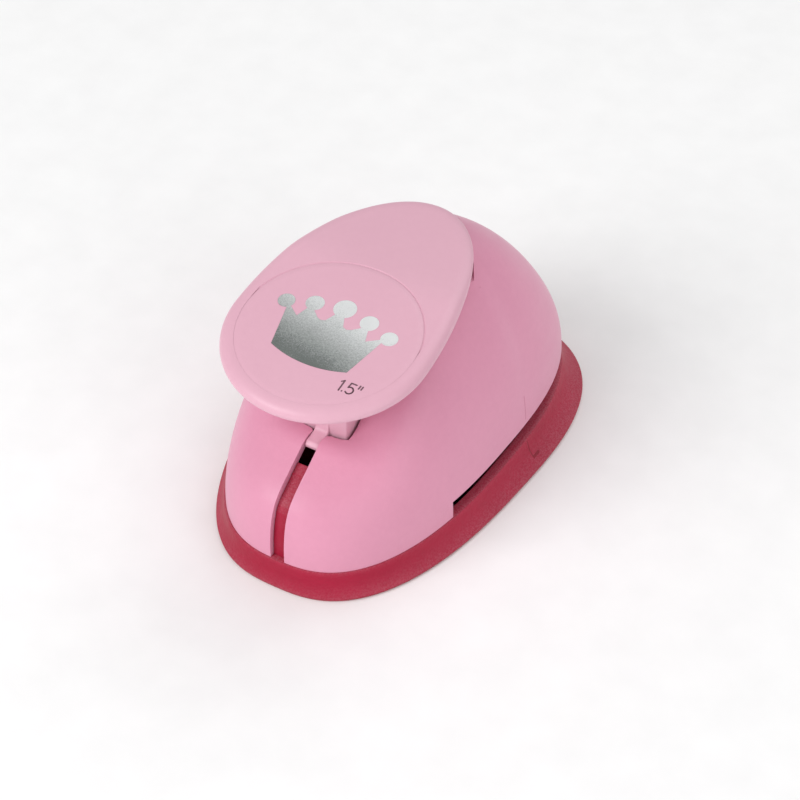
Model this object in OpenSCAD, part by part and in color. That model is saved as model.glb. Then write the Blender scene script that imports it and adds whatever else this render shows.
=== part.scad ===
// Palm-lever craft punch: a domed housing on a flared base, with a lever whose
// wide paddle drives a shaped cutter through paper slid in from the back.
// Millimetres. +Z up, -Y is the front where the paddle overhangs, +Y the paper side.
// The origin is on the resting plane under the middle of the base.

/* [Base] */
// Length of the base, front to back
base_l = 100; // [98:0.5:104]
// Width of the base halfway along, before the egg taper
base_w = 65; // [62:0.5:68]
// Height of the base's top face
base_h = 7; // [6.8:0.1:7.2]
// Width of the upright tongue that stands in the housing's front slot
tongue_w = 3.1; // [2.4:0.1:3.2]

/* [Housing] */
// Wall thickness of the housing
wall = 2; // [1.6:0.1:2.2]
// Height of the front shoulder, where the deck begins
deck_z = 21.6; // [21:0.1:22.2]
// Rise of the deck for each millimetre towards the back
deck_slope = 0.6; // [0.57:0.01:0.62]
// Height the rear dome would reach without its rounding
dome_z = 54; // [53.5:0.1:55]
// Depth of the trough round the lever
trough_d = 5.5; // [4:0.5:6]
// Width of the front slot
slot_w = 3.3; // [3.2:0.1:3.6]
// Height of the paper throat's top edge
throat_z = 11.5; // [11.3:0.1:12]

/* [Lever] */
// Radius of the paddle's round front
paddle_r = 21.8; // [21:0.1:22.5]
// Length of the paddle behind the centre of its round front
paddle_back = 45.3; // [44.5:0.1:45.6]
// Thickness of the paddle
paddle_t = 3.7; // [3.2:0.1:3.8]
// Forward slope of the paddle at rest, in degrees
paddle_tilt = 6.2; // [5.8:0.1:6.6]
// Radius of the engraved ring on the paddle
ring_r = 19; // [18:0.1:19.4]
// Width of the lever's stem
stem_w = 11.2; // [9:0.1:11.4]

/* [Pivot] */
// Radius of the pivot pin
pin_r = 2; // [1.8:0.1:2.2]
// Running clearance between the pin and the lever
pin_gap = 0.05; // [0.02:0.01:0.1]

/* [Punch] */
// Scale of the cut shape to the shape on the paddle
cut_scale = 1.4; // [1.2:0.01:1.42]
// Clearance between the cutter and the die
die_gap = 0.05; // [0.03:0.01:0.1]
// Thickness of the die plate
die_t = 2; // [1.8:0.1:2]
// Height of the gap the paper goes through
paper_gap = 1.2; // [1:0.1:1.3]
// Thickness of the guide plate
guide_t = 1.5; // [1.2:0.1:1.5]
// Turns in each return spring
spring_turns = 4; // [3:1:4]

/* [Hidden] */
$fn = 64;
ring_n = 80;
outline_n = 2.6;
base_n = 2.69;
top_inset = 1.7;
polar_y = 8;
pivot_y = 20;
pivot_z = 40;
paddle_y = -25.5;
paddle_z = 52.75;
seat_z = base_h - die_t;
guide_z = base_h + paper_gap;
frame_z = guide_z + guide_t;
frame_t = 2.3;
post_x = 20;
post_y = -2;
head_z = 20;
head_t = 3;
tower_t = 2.5;
nose_y = 1;
nose_z = 30.5;
nose_r = 4;
cut_y = -5.5;
screw_y = -18;
foil_y = -33.2;
foil_t = 0.3;
front_boss = [16, -30];
rear_boss = [15, 27];
rows = [0, 0.12, 0.24, 0.36, 0.46, 0.55, 0.63, 0.7, 0.76, 0.82, 0.87, 0.91, 0.94,
        0.965, 0.982, 0.993, 0.998, 1];
plates = [[-19.5, -23], [19.5, -23], [23, -12], [23, 22], [-23, 22], [-23, -12]];

// The node to build, or all of them

// ---- curves and surfaces ----

function spow(v, e) = sign(v) * pow(abs(v), e);

// Egg-shaped outline: a superellipse widened towards +Y by the factor k.
function egg(l, w, k, n) =
    [for (i = [0:ring_n - 1]) let (t = 360 * (i + 0.5) / ring_n, s = spow(sin(t), 2 / n))
        [w / 2 * spow(cos(t), 2 / n) * (1 + k * s), l / 2 * s]];

function foot_outline(d) = egg(base_l - 2 * d, base_w - 2 * d, 0.18, base_n);

function shell_outline(d) =
    [for (p = egg(base_l - 4.4 - 2 * d, base_w - 8 - 2 * d, 0.12, outline_n)) p - [0, 0.3]];

function soft_min(a, b) = -ln(exp(-a) + exp(-b));

function deck(y) = deck_z + deck_slope * (y + 44.4) + 7.2 * exp(-(y + 44.4) / 5.2);

function dome(x, y) =
    dome_z - 0.0165 * pow(max(y - polar_y, 0), 2) - 0.01 * x * x * ease((y - 2) / 10);

function ease(t) = let (c = min(max(t, 0), 1)) c * c * (3 - 2 * c);

function trough(x, y) =
    trough_d * ease((y + 33.6) / 8) * (1 - ease((y + 2) / 16)) * pow(max(1 - pow(x / 16, 2), 0), 2);

// How far a direction points to the rear shoulders: 1 halfway between rear and side.
function shoulder(p) =
    2 * abs(p.x) * max(p.y - polar_y, 0) / (pow(p.x, 2) + pow(p.y - polar_y, 2));

// How square the section is: crisp at the front shoulder, rounder elsewhere.
function squareness(p) =
    let (c = (polar_y - p.y) / norm([p.x, p.y - polar_y]))
        2.6 + 5.9 * pow(max(c, 0), 5) + 0.4 * shoulder(p);

function shell_z(p, u, low, drop) =
    let (y = polar_y + (p.y - polar_y) * u, top = soft_min(deck(y), dome(p.x * u, y)) - drop)
    low + (top - low) * pow(max(1 - pow(u, squareness(p)), 0), 0.485 - 0.1 * shoulder(p))
        - trough(p.x * u, y);

// Closed solid under the shell surface of one outline, standing on z = low.
module shell_solid(d, low, drop) {
    line = shell_outline(d);
    n = len(line);
    m = len(rows) - 1;
    apex = [0, polar_y, shell_z(line[0], 0, low, drop)];
    pts = concat([apex], [for (j = [1:m]) for (p = line)
        [p.x * rows[j], polar_y + (p.y - polar_y) * rows[j], shell_z(p, rows[j], low, drop)]]);
    polyhedron(pts, concat(
        [for (i = [0:n - 1]) [0, 1 + (i + 1) % n, 1 + i]],
        [for (j = [0:m - 2]) for (i = [0:n - 1]) let (a = 1 + j * n, b = a + n, k = (i + 1) % n)
            each [[a + i, a + k, b + k], [a + i, b + k, b + i]]],
        [[for (i = [0:n - 1]) 1 + (m - 1) * n + i]]));
}

// Solid through a stack of outlines, each ring a list of 3D points.
module stack(rings) {
    n = len(rings[0]);
    m = len(rings) - 1;
    polyhedron([for (r = rings) each r], concat(
        [[for (i = [0:n - 1]) i]],
        [for (j = [0:m - 1]) for (i = [0:n - 1]) let (a = j * n, b = a + n, k = (i + 1) % n)
            each [[a + i, b + k, a + k], [a + i, b + i, b + k]]],
        [[for (i = [n - 1:-1:0]) m * n + i]]));
}

function lift(line, z) = [for (p = line) [p.x, p.y, z]];

function blend(a, b, t) = [for (i = [0:len(a) - 1]) a[i] * (1 - t) + b[i] * t];

// Paddle outline: a round front and a half-ellipse behind it, scaled and inset.
function paddle_line(f, d) =
    [for (i = [0:ring_n - 1]) let (t = 360 * i / ring_n, b = sin(t) > 0 ? paddle_back : paddle_r)
        [f * (paddle_r - d) * cos(t), f * (b - d) * sin(t)]];

// How far the paddle's top falls away from its own plane behind the ring.
function paddle_fall(y) = 0.09 * (y - 18.5 + sqrt(pow(y - 18.5, 2) + 2));

function paddle_ring(f, d, h) =
    [for (p = paddle_line(f, d)) let (fall = paddle_fall(p.y))
        [p.x, p.y, h - fall - h / paddle_t * min(fall, 2.2)]];

// ---- shared shapes ----

// The crown that is cut, with its base line through the origin, grown by g.
module crown(s, g) {
    r = 22.6 * s + g;
    half = [[8.6, 0], [11, 10.3], [10.4, 10.4], [7.85, 8.55], [6.85, 11.6], [5.7, 11.6],
            [3.85, 9.95], [2.95, 9.6], [2.05, 9.95], [0.95, 12.4]];
    grow = [[1, -1], [1, 0], [-1, 0], [0, 1.2], [1, 0], [-1, 0], [0, 1.1], [0, 1.1], [0, 1.1], [1, 0]];
    right = [for (i = [0:len(half) - 1]) half[i] * s + grow[i] * g];
    left = [for (i = [len(right) - 1:-1:0]) [-right[i].x, right[i].y]];
    arc = [for (a = [-21:3.5:21]) [r * sin(a), 20.9 * s - r * cos(a)]];
    polygon(concat(arc, right, left));
    translate([0, 14.3 * s]) circle(2.4 * s + g);
    for (m = [-1, 1]) {
        translate([m * 6.25 * s, 13.1 * s]) circle(1.95 * s + g);
        translate([m * 11.8 * s, 11.2 * s]) circle(1.8 * s + g);
    }
}

module cut_crown(g) {
    translate([0, cut_y]) crown(cut_scale, g);
}

module rounded(lo, hi, r) {
    translate([lo.x + r, lo.y]) square([hi.x - lo.x - 2 * r, hi.y - lo.y]);
    translate([lo.x, lo.y + r]) square([hi.x - lo.x, hi.y - lo.y - 2 * r]);
    for (x = [lo.x + r, hi.x - r]) for (y = [lo.y + r, hi.y - r])
        translate([x, y]) circle(r);
}

// A profile drawn in the YZ plane, w wide across X.
module across(w) {
    translate([-w / 2, 0, 0]) rotate([90, 0, 90]) linear_extrude(w) children();
}

module cross_rod(r, x0, x1) {
    translate([x0, 0, 0]) rotate([0, 90, 0]) cylinder(r = r, h = x1 - x0);
}

module at_pivot() {
    translate([0, pivot_y, pivot_z]) children();
}

module in_paddle() {
    translate([0, paddle_y, paddle_z]) rotate([paddle_tilt, 0, 0]) children();
}

module screw(r, l, head_r, head_h) {
    cylinder(r = r, h = l);
    translate([0, 0, l]) cylinder(r = head_r, h = head_h);
}

module both(p) {
    for (m = [-1, 1]) translate([m * p.x, p.y, 0]) children();
}

module plate_holes(r) {
    both([17, screw_y]) circle(r);
    both([8, screw_y]) circle(r);
}

// ---- base ----

module base() {
    color([0.70, 0.16, 0.29]) {
        difference() {
            union() {
                difference() {
                    stack([
                        lift(foot_outline(0.7), 0),
                        lift(foot_outline(0.15), 0.35),
                        lift(foot_outline(0), 0.9),
                        for (k = [[0.45, 2.1], [0.75, 3.6], [0.95, base_h - 1.2]])
                            lift(blend(foot_outline(0), shell_outline(-0.45), k[0]), k[1]),
                        lift(shell_outline(-0.25), base_h - 0.15),
                        lift(shell_outline(0.2), base_h)]);
                    translate([0, 0, -1]) linear_extrude(seat_z - 1) polygon(shell_outline(2));
                }
                both([17, screw_y]) translate([0, 0, 0.6]) cylinder(r = 3.4, h = seat_z - 0.6);
                both([8, screw_y]) translate([0, 0, 0.6]) cylinder(r = 3.4, h = seat_z - 0.6);
                both(front_boss) translate([0, 0, 0.6]) cylinder(r = 4.4, h = seat_z - 0.6);
            }
            translate([0, 0, seat_z]) linear_extrude(die_t + 1) polygon(plates * 1.004);
            translate([0, 0, -1]) linear_extrude(seat_z + 2) rounded([-20.5, -11], [20.5, 20.5], 3);
            translate([0, 0, 2.4]) linear_extrude(seat_z) plate_holes(1.42);
            both(front_boss) translate([0, 0, -1]) cylinder(r = 1.45, h = base_h + 2);
            both(front_boss) translate([0, 0, -1]) cylinder(r = 2.9, h = 3.6);
        }
        tongue();
    }
}

// Upright that fills the housing's front slot and follows its shoulder.
module tongue() {
    across(tongue_w) polygon([[-47.1, base_h - 1], [-46.8, 11.4], [-46.2, 15.1], [-45.3, 18.3],
        [-44.5, 19.6], [-43.5, 20.5], [-41.8, 21.5], [-35.8, 25.1], [-36.8, 22.4], [-41, 19.5],
        [-42.6, 17.5], [-43.3, 14], [-43.4, base_h - 1]]);
}

// ---- housing ----

module cover() {
    color([0.88, 0.66, 0.75]) difference() {
        union() {
            difference() {
                shell_solid(0, base_h, 0);
                shell_solid(wall, base_h - 0.01, wall * 1.1);
            }
            intersection() {
                shell_solid(0.2, base_h, 0.3);
                cover_inside();
            }
        }
        translate([0, 0, 18]) linear_extrude(50) rounded([-6.2, -29.3], [6.2, 19.5], 1.6);
        translate([-slot_w / 2, -60, base_h - 1]) cube([slot_w, 32, 40]);
        translate([-50, -20, 0]) cube([100, 80, throat_z]);
        translate([0, 0, 47.5]) linear_extrude(20) paddle_shadow(0.6);
        at_pivot() cross_rod(pin_r + 0.02, -12, 12);
        both(front_boss) cylinder(r = 1.2, h = 17);
        both(rear_boss) cylinder(r = 1.2, h = 22);
    }
}

// Pocket floor, pivot cheeks and screw bosses, before they are trimmed to the dome.
module cover_inside() {
    translate([0, 0, 45.5]) linear_extrude(8) difference() {
        rounded([-15, 3], [15, 23], 4);
        rounded([-6.2, 0], [6.2, 19.5], 2);
    }
    for (x = [-9, 6.4]) translate([x, 0, 0]) rotate([90, 0, 90]) linear_extrude(2.6)
        polygon([[14, 47], [14, 38], [17, 35], [23, 35], [26, 38], [26, 47]]);
    both(front_boss) translate([0, 0, base_h]) cylinder(r = 3.4, h = 30);
    both(rear_boss) translate([0, 0, frame_z + frame_t]) cylinder(r = 3, h = 40);
}

module paddle_shadow(g) {
    translate([0, paddle_y]) polygon(paddle_line(1, -g));
}

// ---- lever ----

module lever() {
    color([0.93, 0.72, 0.80]) difference() {
        union() {
            in_paddle() paddle();
            across(stem_w) stem_side();
            across(2.9) polygon([[-27, 31], [-28.8, 29.4], [-32.6, 28], [-33.6, 27.4], [-33.4, 26.6],
                [-30, 24.2], [-27, 24]]);
            at_pivot() cross_rod(5, -6.1, 6.1);
            translate([0, nose_y, nose_z]) cross_rod(nose_r, -stem_w / 2, stem_w / 2);
        }
        across(stem_w - 3.8) polygon([[-26.5, 45.5], [-26.5, 23], [-16, 23], [-9, 31.2], [-7, 34.5],
            [7, 35], [13, 41], [12, 48], [2, 48.2]]);
        at_pivot() cross_rod(pin_r + pin_gap, -7, 7);
        in_paddle() paddle_ring_groove();
        in_paddle() foil(0.03, 1);
    }
}

module paddle() {
    inner = [0.3, 0.6, 0.75, 0.85, 0.93];
    stack(concat(
        [for (f = inner) paddle_ring(f, 3.4, -paddle_t)],
        [paddle_ring(1, 3.2, -paddle_t), paddle_ring(1, 1.4, -paddle_t + 0.25),
         paddle_ring(1, 0.4, -paddle_t + 0.95), paddle_ring(1, 0, -paddle_t / 2),
         paddle_ring(1, 0.25, -0.95), paddle_ring(1, 1.1, -0.25), paddle_ring(1, 2.4, 0)],
        [for (i = [4:-1:0]) paddle_ring(inner[i], 2.6, 0)]));
}

module paddle_ring_groove() {
    translate([0, 0, -0.3]) difference() {
        cylinder(r = ring_r + 0.25, h = 1, $fn = 96);
        translate([0, 0, -1]) cylinder(r = ring_r - 0.25, h = 3, $fn = 96);
    }
}

module stem_side() {
    polygon([[-28.8, 50.5], [-28.8, 25.2], [-27.8, 24], [-19.5, 24], [-10.5, 28.3], [-2.8, 29.6],
        [3, 27.2], [8, 31], [17.5, 35.7], [24.2, 37.4], [24, 43], [17, 44.2], [16, 51], [12, 52], [0, 52.3]]);
}

// Foil inlay on the paddle, grown by g and t thick above its seat.
module foil(g, t) {
    translate([0, foil_y - paddle_y, -foil_t]) linear_extrude(t) crown(1, g);
}

module foil_crown() {
    color([0.72, 0.74, 0.74]) in_paddle() foil(0, foil_t);
}

// ---- pivot ----

module lever_pin() {
    color([0.62, 0.63, 0.65]) at_pivot() cross_rod(pin_r, -10.6, 10.6);
}

module pin_clips() {
    color([0.45, 0.46, 0.48]) at_pivot() for (x = [-9.7, 9.1]) difference() {
        cross_rod(pin_r + 1.5, x, x + 0.6);
        cross_rod(pin_r, x - 1, x + 1.6);
    }
}

// ---- die set ----

module die_plate() {
    color([0.66, 0.67, 0.69]) translate([0, 0, seat_z]) linear_extrude(die_t) difference() {
        polygon(plates);
        cut_crown(die_gap);
        plate_holes(1.45);
    }
}

module spacer_shim() {
    color([0.60, 0.61, 0.63]) translate([0, 0, base_h]) linear_extrude(paper_gap) difference() {
        polygon([[-19.5, -23], [19.5, -23], [22.5, -13.5], [-22.5, -13.5]]);
        plate_holes(1.45);
    }
}

module guide_plate() {
    color([0.66, 0.67, 0.69]) translate([0, 0, guide_z]) linear_extrude(guide_t) difference() {
        polygon(plates);
        cut_crown(die_gap + 0.01);
        plate_holes(1.45);
    }
}

module guide_frame() {
    color([0.62, 0.12, 0.24]) translate([0, 0, frame_z]) linear_extrude(frame_t) difference() {
        union() {
            polygon([[-19.8, -24], [19.8, -24], [23.5, -12], [23.5, 22.5], [-23.5, 22.5], [-23.5, -12]]);
            both(rear_boss) circle(4);
            both([rear_boss.x, 24]) square([8, 6], center = true);
        }
        cut_crown(0.5);
        plate_holes(1.45);
        both(rear_boss) circle(1.45);
        both([post_x, post_y]) circle(1.5);
    }
}

module guide_posts() {
    color([0.74, 0.75, 0.77]) both([post_x, post_y]) translate([0, 0, frame_z])
        cylinder(r = 1.5, h = 16);
}

module spring_seats() {
    color([0.52, 0.53, 0.55]) both([post_x, post_y]) translate([0, 0, frame_z + frame_t])
        difference() {
            cylinder(r = 3.1, h = 0.5);
            translate([0, 0, -1]) cylinder(r = 1.6, h = 2);
        }
}

// Compression spring on a guide post, between its seat and the punch head.
module return_spring(x) {
    low = frame_z + frame_t + 0.5;
    h = head_z - low;
    n = 14;
    wire = 0.36;
    color([0.58, 0.59, 0.61]) translate([x, post_y, low]) stack([
        for (i = [0:n * spring_turns])
            let (a = 360 * i / n, z = wire + (h - 2 * wire) * i / (n * spring_turns))
            [for (k = [0:5]) let (r = 2.5 + wire * cos(60 * k))
                [r * cos(a), r * sin(a), z + wire * sin(60 * k)]]]);
}

module spring_left() {
    return_spring(-post_x);
}

module spring_right() {
    return_spring(post_x);
}

// ---- punch ----

module punch_cutter() {
    color([0.70, 0.71, 0.73]) translate([0, 0, guide_z + 0.4]) difference() {
        linear_extrude(head_z - guide_z - 0.4) cut_crown(0);
        both([9, 0]) translate([0, 0, 5]) cylinder(r = 1.25, h = 10);
    }
}

module punch_head() {
    color([0.90, 0.88, 0.86]) difference() {
        union() {
            translate([0, 0, head_z]) linear_extrude(head_t) {
                rounded([-18, -10], [18, 19.5], 4);
                both([post_x, post_y]) circle(3.4);
            }
            translate([0, 0, head_z + head_t]) linear_extrude(tower_t) rounded([-7.6, -5], [7.6, 7], 1.5);
            translate([-15, 1, head_z + head_t]) cube([30, 1.6, 1.5]);
        }
        both([post_x, post_y]) translate([0, 0, head_z - 1]) cylinder(r = 1.56, h = head_t + 2);
        both([9, 0]) translate([0, 0, head_z - 1]) cylinder(r = 1.25, h = head_t + 4);
        both([9, 0]) translate([0, 0, head_z + head_t - 0.8]) cylinder(r = 2.5, h = 5);
    }
}

module press_plate() {
    color([0.68, 0.69, 0.71]) translate([0, 0, head_z + head_t + tower_t])
        linear_extrude(nose_z - nose_r - 0.05 - head_z - head_t - tower_t) rounded([-6.6, -4], [6.6, 6], 1);
}

// ---- fasteners ----

module head_screws() {
    color([0.50, 0.51, 0.53]) both([9, 0]) translate([0, 0, head_z - 5])
        screw(1.2, head_t + 4.2, 2.3, 1.4);
}

module plate_screws() {
    color([0.50, 0.51, 0.53]) both([17, screw_y]) translate([0, 0, 2.6])
        screw(1.4, frame_z + frame_t - 2.6, 2.4, 1.4);
    color([0.50, 0.51, 0.53]) both([8, screw_y]) translate([0, 0, 2.6])
        screw(1.4, frame_z + frame_t - 2.6, 2.4, 1.4);
}

module cover_screws() {
    color([0.50, 0.51, 0.53]) both(front_boss) translate([0, 0, 14.2]) mirror([0, 0, 1])
        screw(1.2, 11.6, 2.4, 1.5);
    color([0.50, 0.51, 0.53]) both(rear_boss) translate([0, 0, frame_z + 11.6]) mirror([0, 0, 1])
        screw(1.2, 11.6, 2.4, 1.5);
}

base();
cover();
lever();
foil_crown();
lever_pin();
pin_clips();
die_plate();
spacer_shim();
guide_plate();
guide_frame();
guide_posts();
spring_seats();
spring_left();
spring_right();
punch_cutter();
punch_head();
press_plate();
head_screws();
plate_screws();
cover_screws();
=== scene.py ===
"""Visual model of a palm-lever craft punch with a crown-shaped cutter.

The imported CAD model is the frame. The moulded pieces (base, housing, lever), the
springs and the screws are modelled finely here and stand for their CAD nodes; the
pressed and ground steel pieces keep their CAD shapes and get their finishes.
All sizes in this file are millimetres until a mesh is finished, then metres.
"""

import logging
import math
from dataclasses import dataclass, field
from enum import Enum
from typing import Callable, Iterable, List, Optional, Sequence, Tuple

import bmesh
import bpy
from mathutils import Matrix, Vector


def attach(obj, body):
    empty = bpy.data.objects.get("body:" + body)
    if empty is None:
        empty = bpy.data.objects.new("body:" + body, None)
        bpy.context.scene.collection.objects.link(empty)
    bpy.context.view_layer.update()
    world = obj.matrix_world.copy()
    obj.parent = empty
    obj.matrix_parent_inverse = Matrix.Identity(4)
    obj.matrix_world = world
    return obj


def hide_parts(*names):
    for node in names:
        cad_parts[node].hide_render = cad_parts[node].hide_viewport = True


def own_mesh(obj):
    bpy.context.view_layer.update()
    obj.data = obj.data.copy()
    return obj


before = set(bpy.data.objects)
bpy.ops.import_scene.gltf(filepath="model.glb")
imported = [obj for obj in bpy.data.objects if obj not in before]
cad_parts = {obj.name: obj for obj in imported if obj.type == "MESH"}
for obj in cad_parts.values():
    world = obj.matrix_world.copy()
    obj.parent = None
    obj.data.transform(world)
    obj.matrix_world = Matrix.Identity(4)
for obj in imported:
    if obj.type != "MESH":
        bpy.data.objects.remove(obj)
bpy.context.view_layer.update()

MM = 0.001

# Places and sizes that more than one piece uses, as on the CAD model.
PIVOT = (20.0, 40.0)
FRONT_BOSS = (16.0, -30.0)
REAR_BOSS = (15.0, 27.0)
PLATE_SCREW_X = (17.0, 8.0)
PLATE_SCREW_Y = -18.0
HEAD_SCREW_X = 9.0
PADDLE_CENTRE = (0.0, -25.5, 52.75)
PADDLE_RADIUS = 21.8
PADDLE_BACK = 45.3
Point2 = Tuple[float, float]
Ring = List[Vector]
log = logging.getLogger("craft_punch")


# --------------------------------------------------------------------------
# Small helpers
# --------------------------------------------------------------------------


def spow(value: float, power: float) -> float:
    """Returns value raised to power, keeping its sign."""
    return math.copysign(abs(value) ** power, value)


def ease(t: float) -> float:
    """Returns t eased from 0 to 1, flat at both ends."""
    c = min(max(t, 0.0), 1.0)
    return c * c * (3.0 - 2.0 * c)


def lerp(a: float, b: float, t: float) -> float:
    """Returns the value a fraction t of the way from a to b."""
    return a + (b - a) * t


def inside_outline(x: float, y: float, outline: Sequence[Point2]) -> bool:
    """Says whether a point lies inside a closed plan outline.

    Args:
        x: Point's place across.
        y: Point's place front to back.
        outline: Corners of the outline in order.

    Returns:
        True if the point is inside.
    """
    hit = False
    px, py = outline[-1]
    for qx, qy in outline:
        if (qy > y) != (py > y) and x < (px - qx) * (y - qy) / (py - qy) + qx:
            hit = not hit
        px, py = qx, qy
    return hit


def rounded_outline(corners: Sequence[Point2], radii: Sequence[float], steps: int = 5) -> List[Point2]:
    """Rounds the corners of a closed plan outline.

    Args:
        corners: Sharp corners in order.
        radii: Rounding radius of each corner, 0 to leave it sharp.
        steps: Segments in each rounded corner.

    Returns:
        The rounded outline's points in the same order.
    """
    points: List[Point2] = []
    count = len(corners)
    for i, radius in enumerate(radii):
        here = Vector(corners[i])
        back = (Vector(corners[i - 1]) - here).normalized()
        ahead = (Vector(corners[(i + 1) % count]) - here).normalized()
        if radius <= 0.0:
            points.append((here.x, here.y))
            continue
        half = back.angle(ahead) / 2.0
        centre = here + (back + ahead).normalized() * (radius / math.sin(half))
        start = here + back * (radius / math.tan(half)) - centre
        end = here + ahead * (radius / math.tan(half)) - centre
        turn = start.angle_signed(end)
        for k in range(steps + 1):
            a = -turn * k / steps
            ca, sa = math.cos(a), math.sin(a)
            points.append((centre.x + start.x * ca - start.y * sa, centre.y + start.x * sa + start.y * ca))
    return points


class Body(Enum):
    """The rigid bodies the pieces ride on."""

    HOUSING = "housing"
    LEVER = "lever_arm"
    PUNCH = "punch"


# --------------------------------------------------------------------------
# Mesh building
# --------------------------------------------------------------------------


def place_ring(verts: Sequence[bmesh.types.BMVert], ring: Ring) -> None:
    """Moves a loop of vertices, taken in order, onto the points of a ring."""
    for vert, point in zip(verts, ring):
        vert.co = point


def loft(bm: bmesh.types.BMesh, rings: Sequence[Ring], start_cap: bool = False,
         end_point: Optional[Vector] = None) -> None:
    """Builds a skin by extruding one edge loop through a stack of rings.

    Args:
        bm: Mesh to add to.
        rings: Rings of equal length, from the first loop to the last.
        start_cap: Whether to close the first ring with a face.
        end_point: Point that the last ring closes onto, if any.
    """
    made = bmesh.ops.create_circle(bm, cap_ends=False, radius=1.0, segments=len(rings[0]))
    loop = list(made["verts"])
    place_ring(loop, rings[0])
    if start_cap:
        bmesh.ops.contextual_create(bm, geom=loop)
    edges = [bm.edges.get((loop[i], loop[(i + 1) % len(loop)])) for i in range(len(loop))]
    for ring in rings[1:]:
        out = bmesh.ops.extrude_edge_only(bm, edges=edges)
        fresh = {v: None for v in out["geom"] if isinstance(v, bmesh.types.BMVert)}
        following = []
        for vert in loop:
            follower = next(e.other_vert(vert) for e in vert.link_edges if e.other_vert(vert) in fresh)
            following.append(follower)
        loop = following
        place_ring(loop, ring)
        edges = [bm.edges.get((loop[i], loop[(i + 1) % len(loop)])) for i in range(len(loop))]
    if end_point is not None:
        out = bmesh.ops.extrude_edge_only(bm, edges=edges)
        tip = [v for v in out["geom"] if isinstance(v, bmesh.types.BMVert)]
        bmesh.ops.pointmerge(bm, verts=tip, merge_co=end_point)


def score(bm: bmesh.types.BMesh, outline: Sequence[Point2], closed: bool = True,
          reach: float = 1.6, snap: float = 0.28, test: Optional[Callable[[Vector], bool]] = None) -> None:
    """Cuts a plan outline into a mesh with upright planes, one per side.

    Args:
        bm: Mesh to cut.
        outline: Points of the outline in order.
        closed: Whether the last point joins the first.
        reach: How far from a side a face may lie and still be cut.
        snap: Vertices nearer the plane than this are moved onto it.
        test: Optional test a face's centre has to pass to be cut.
    """
    count = len(outline) if closed else len(outline) - 1
    for i in range(count):
        a = Vector((*outline[i], 0.0))
        b = Vector((*outline[(i + 1) % len(outline)], 0.0))
        along = b - a
        length = along.length
        if length < 1e-6:
            continue
        along /= length
        across = Vector((-along.y, along.x, 0.0))
        near = []
        for face in bm.faces:
            c = face.calc_center_median()
            s = (c - a).dot(along)
            if -reach < s < length + reach and abs((c - a).dot(across)) < reach + 1.0:
                if test is None or test(c):
                    near.append(face)
        geom = list({e for f in near for e in f.edges} | {v for f in near for v in f.verts}) + near
        bmesh.ops.bisect_plane(bm, geom=geom, dist=snap, plane_co=a, plane_no=across, use_snap_center=True)


def drop_inside(bm: bmesh.types.BMesh, inside: Callable[[Vector], bool]) -> None:
    """Deletes the faces whose centre is inside a shape."""
    gone = [f for f in bm.faces if inside(f.calc_center_median())]
    bmesh.ops.delete(bm, geom=gone, context="FACES")


def add_block(bm: bmesh.types.BMesh, low: Sequence[float], high: Sequence[float], bevel: float = 0.0,
              segments: int = 2) -> List[bmesh.types.BMVert]:
    """Adds a block between two corners, with its edges rounded.

    Args:
        bm: Mesh to add to.
        low: Lowest corner.
        high: Highest corner.
        bevel: Radius of the rounded edges.
        segments: Segments in the rounding.

    Returns:
        The block's vertices.
    """
    size = [h - l for l, h in zip(low, high)]
    middle = [(h + l) / 2 for l, h in zip(low, high)]
    place = Matrix.Translation(middle) @ Matrix.Diagonal((*size, 1.0))
    verts = bmesh.ops.create_cube(bm, size=1.0, matrix=place)["verts"]
    if bevel > 0.0:
        edges = list({e for v in verts for e in v.link_edges})
        out = bmesh.ops.bevel(bm, geom=edges, offset=bevel, segments=segments, affect="EDGES",
                              profile=0.5, material=-1, clamp_overlap=True)
        verts = list(out["verts"])
    return verts


def add_prism(bm: bmesh.types.BMesh, outline: Sequence[Point2], low: float, high: float,
              place: Optional[Matrix] = None, bevel: float = 0.0, segments: int = 2) -> List[bmesh.types.BMVert]:
    """Adds an upright prism over a plan outline, with its edges rounded.

    Args:
        bm: Mesh to add to.
        outline: Plan outline, in order.
        low: Height of its underside.
        high: Height of its top.
        place: Turn and shift applied to it at the end.
        bevel: Radius of the rounding on its sharp edges.
        segments: Segments in the rounding.

    Returns:
        The prism's vertices.
    """
    made = bmesh.ops.create_circle(bm, cap_ends=True, radius=1.0, segments=len(outline))
    verts = list(made["verts"])
    place_ring(verts, [Vector((x, y, low)) for x, y in outline])
    face = next(iter(set(verts[0].link_faces) & set(verts[1].link_faces)))
    out = bmesh.ops.extrude_face_region(bm, geom=[face])
    top = [v for v in out["geom"] if isinstance(v, bmesh.types.BMVert)]
    bmesh.ops.translate(bm, verts=top, vec=(0.0, 0.0, high - low))
    every = verts + top
    faces = list({f for v in every for f in v.link_faces})
    bmesh.ops.recalc_face_normals(bm, faces=faces)
    if bevel > 0.0:
        sharp = [e for e in {e for f in faces for e in f.edges}
                 if len(e.link_faces) == 2 and e.calc_face_angle(0.0) > math.radians(35)]
        out = bmesh.ops.bevel(bm, geom=sharp, offset=bevel, segments=segments, affect="EDGES",
                              profile=0.5, material=-1, clamp_overlap=True)
        every = list({v for v in every if v.is_valid} | set(out["verts"]))
    if place is not None:
        bmesh.ops.transform(bm, matrix=place, verts=every)
    return every


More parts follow.
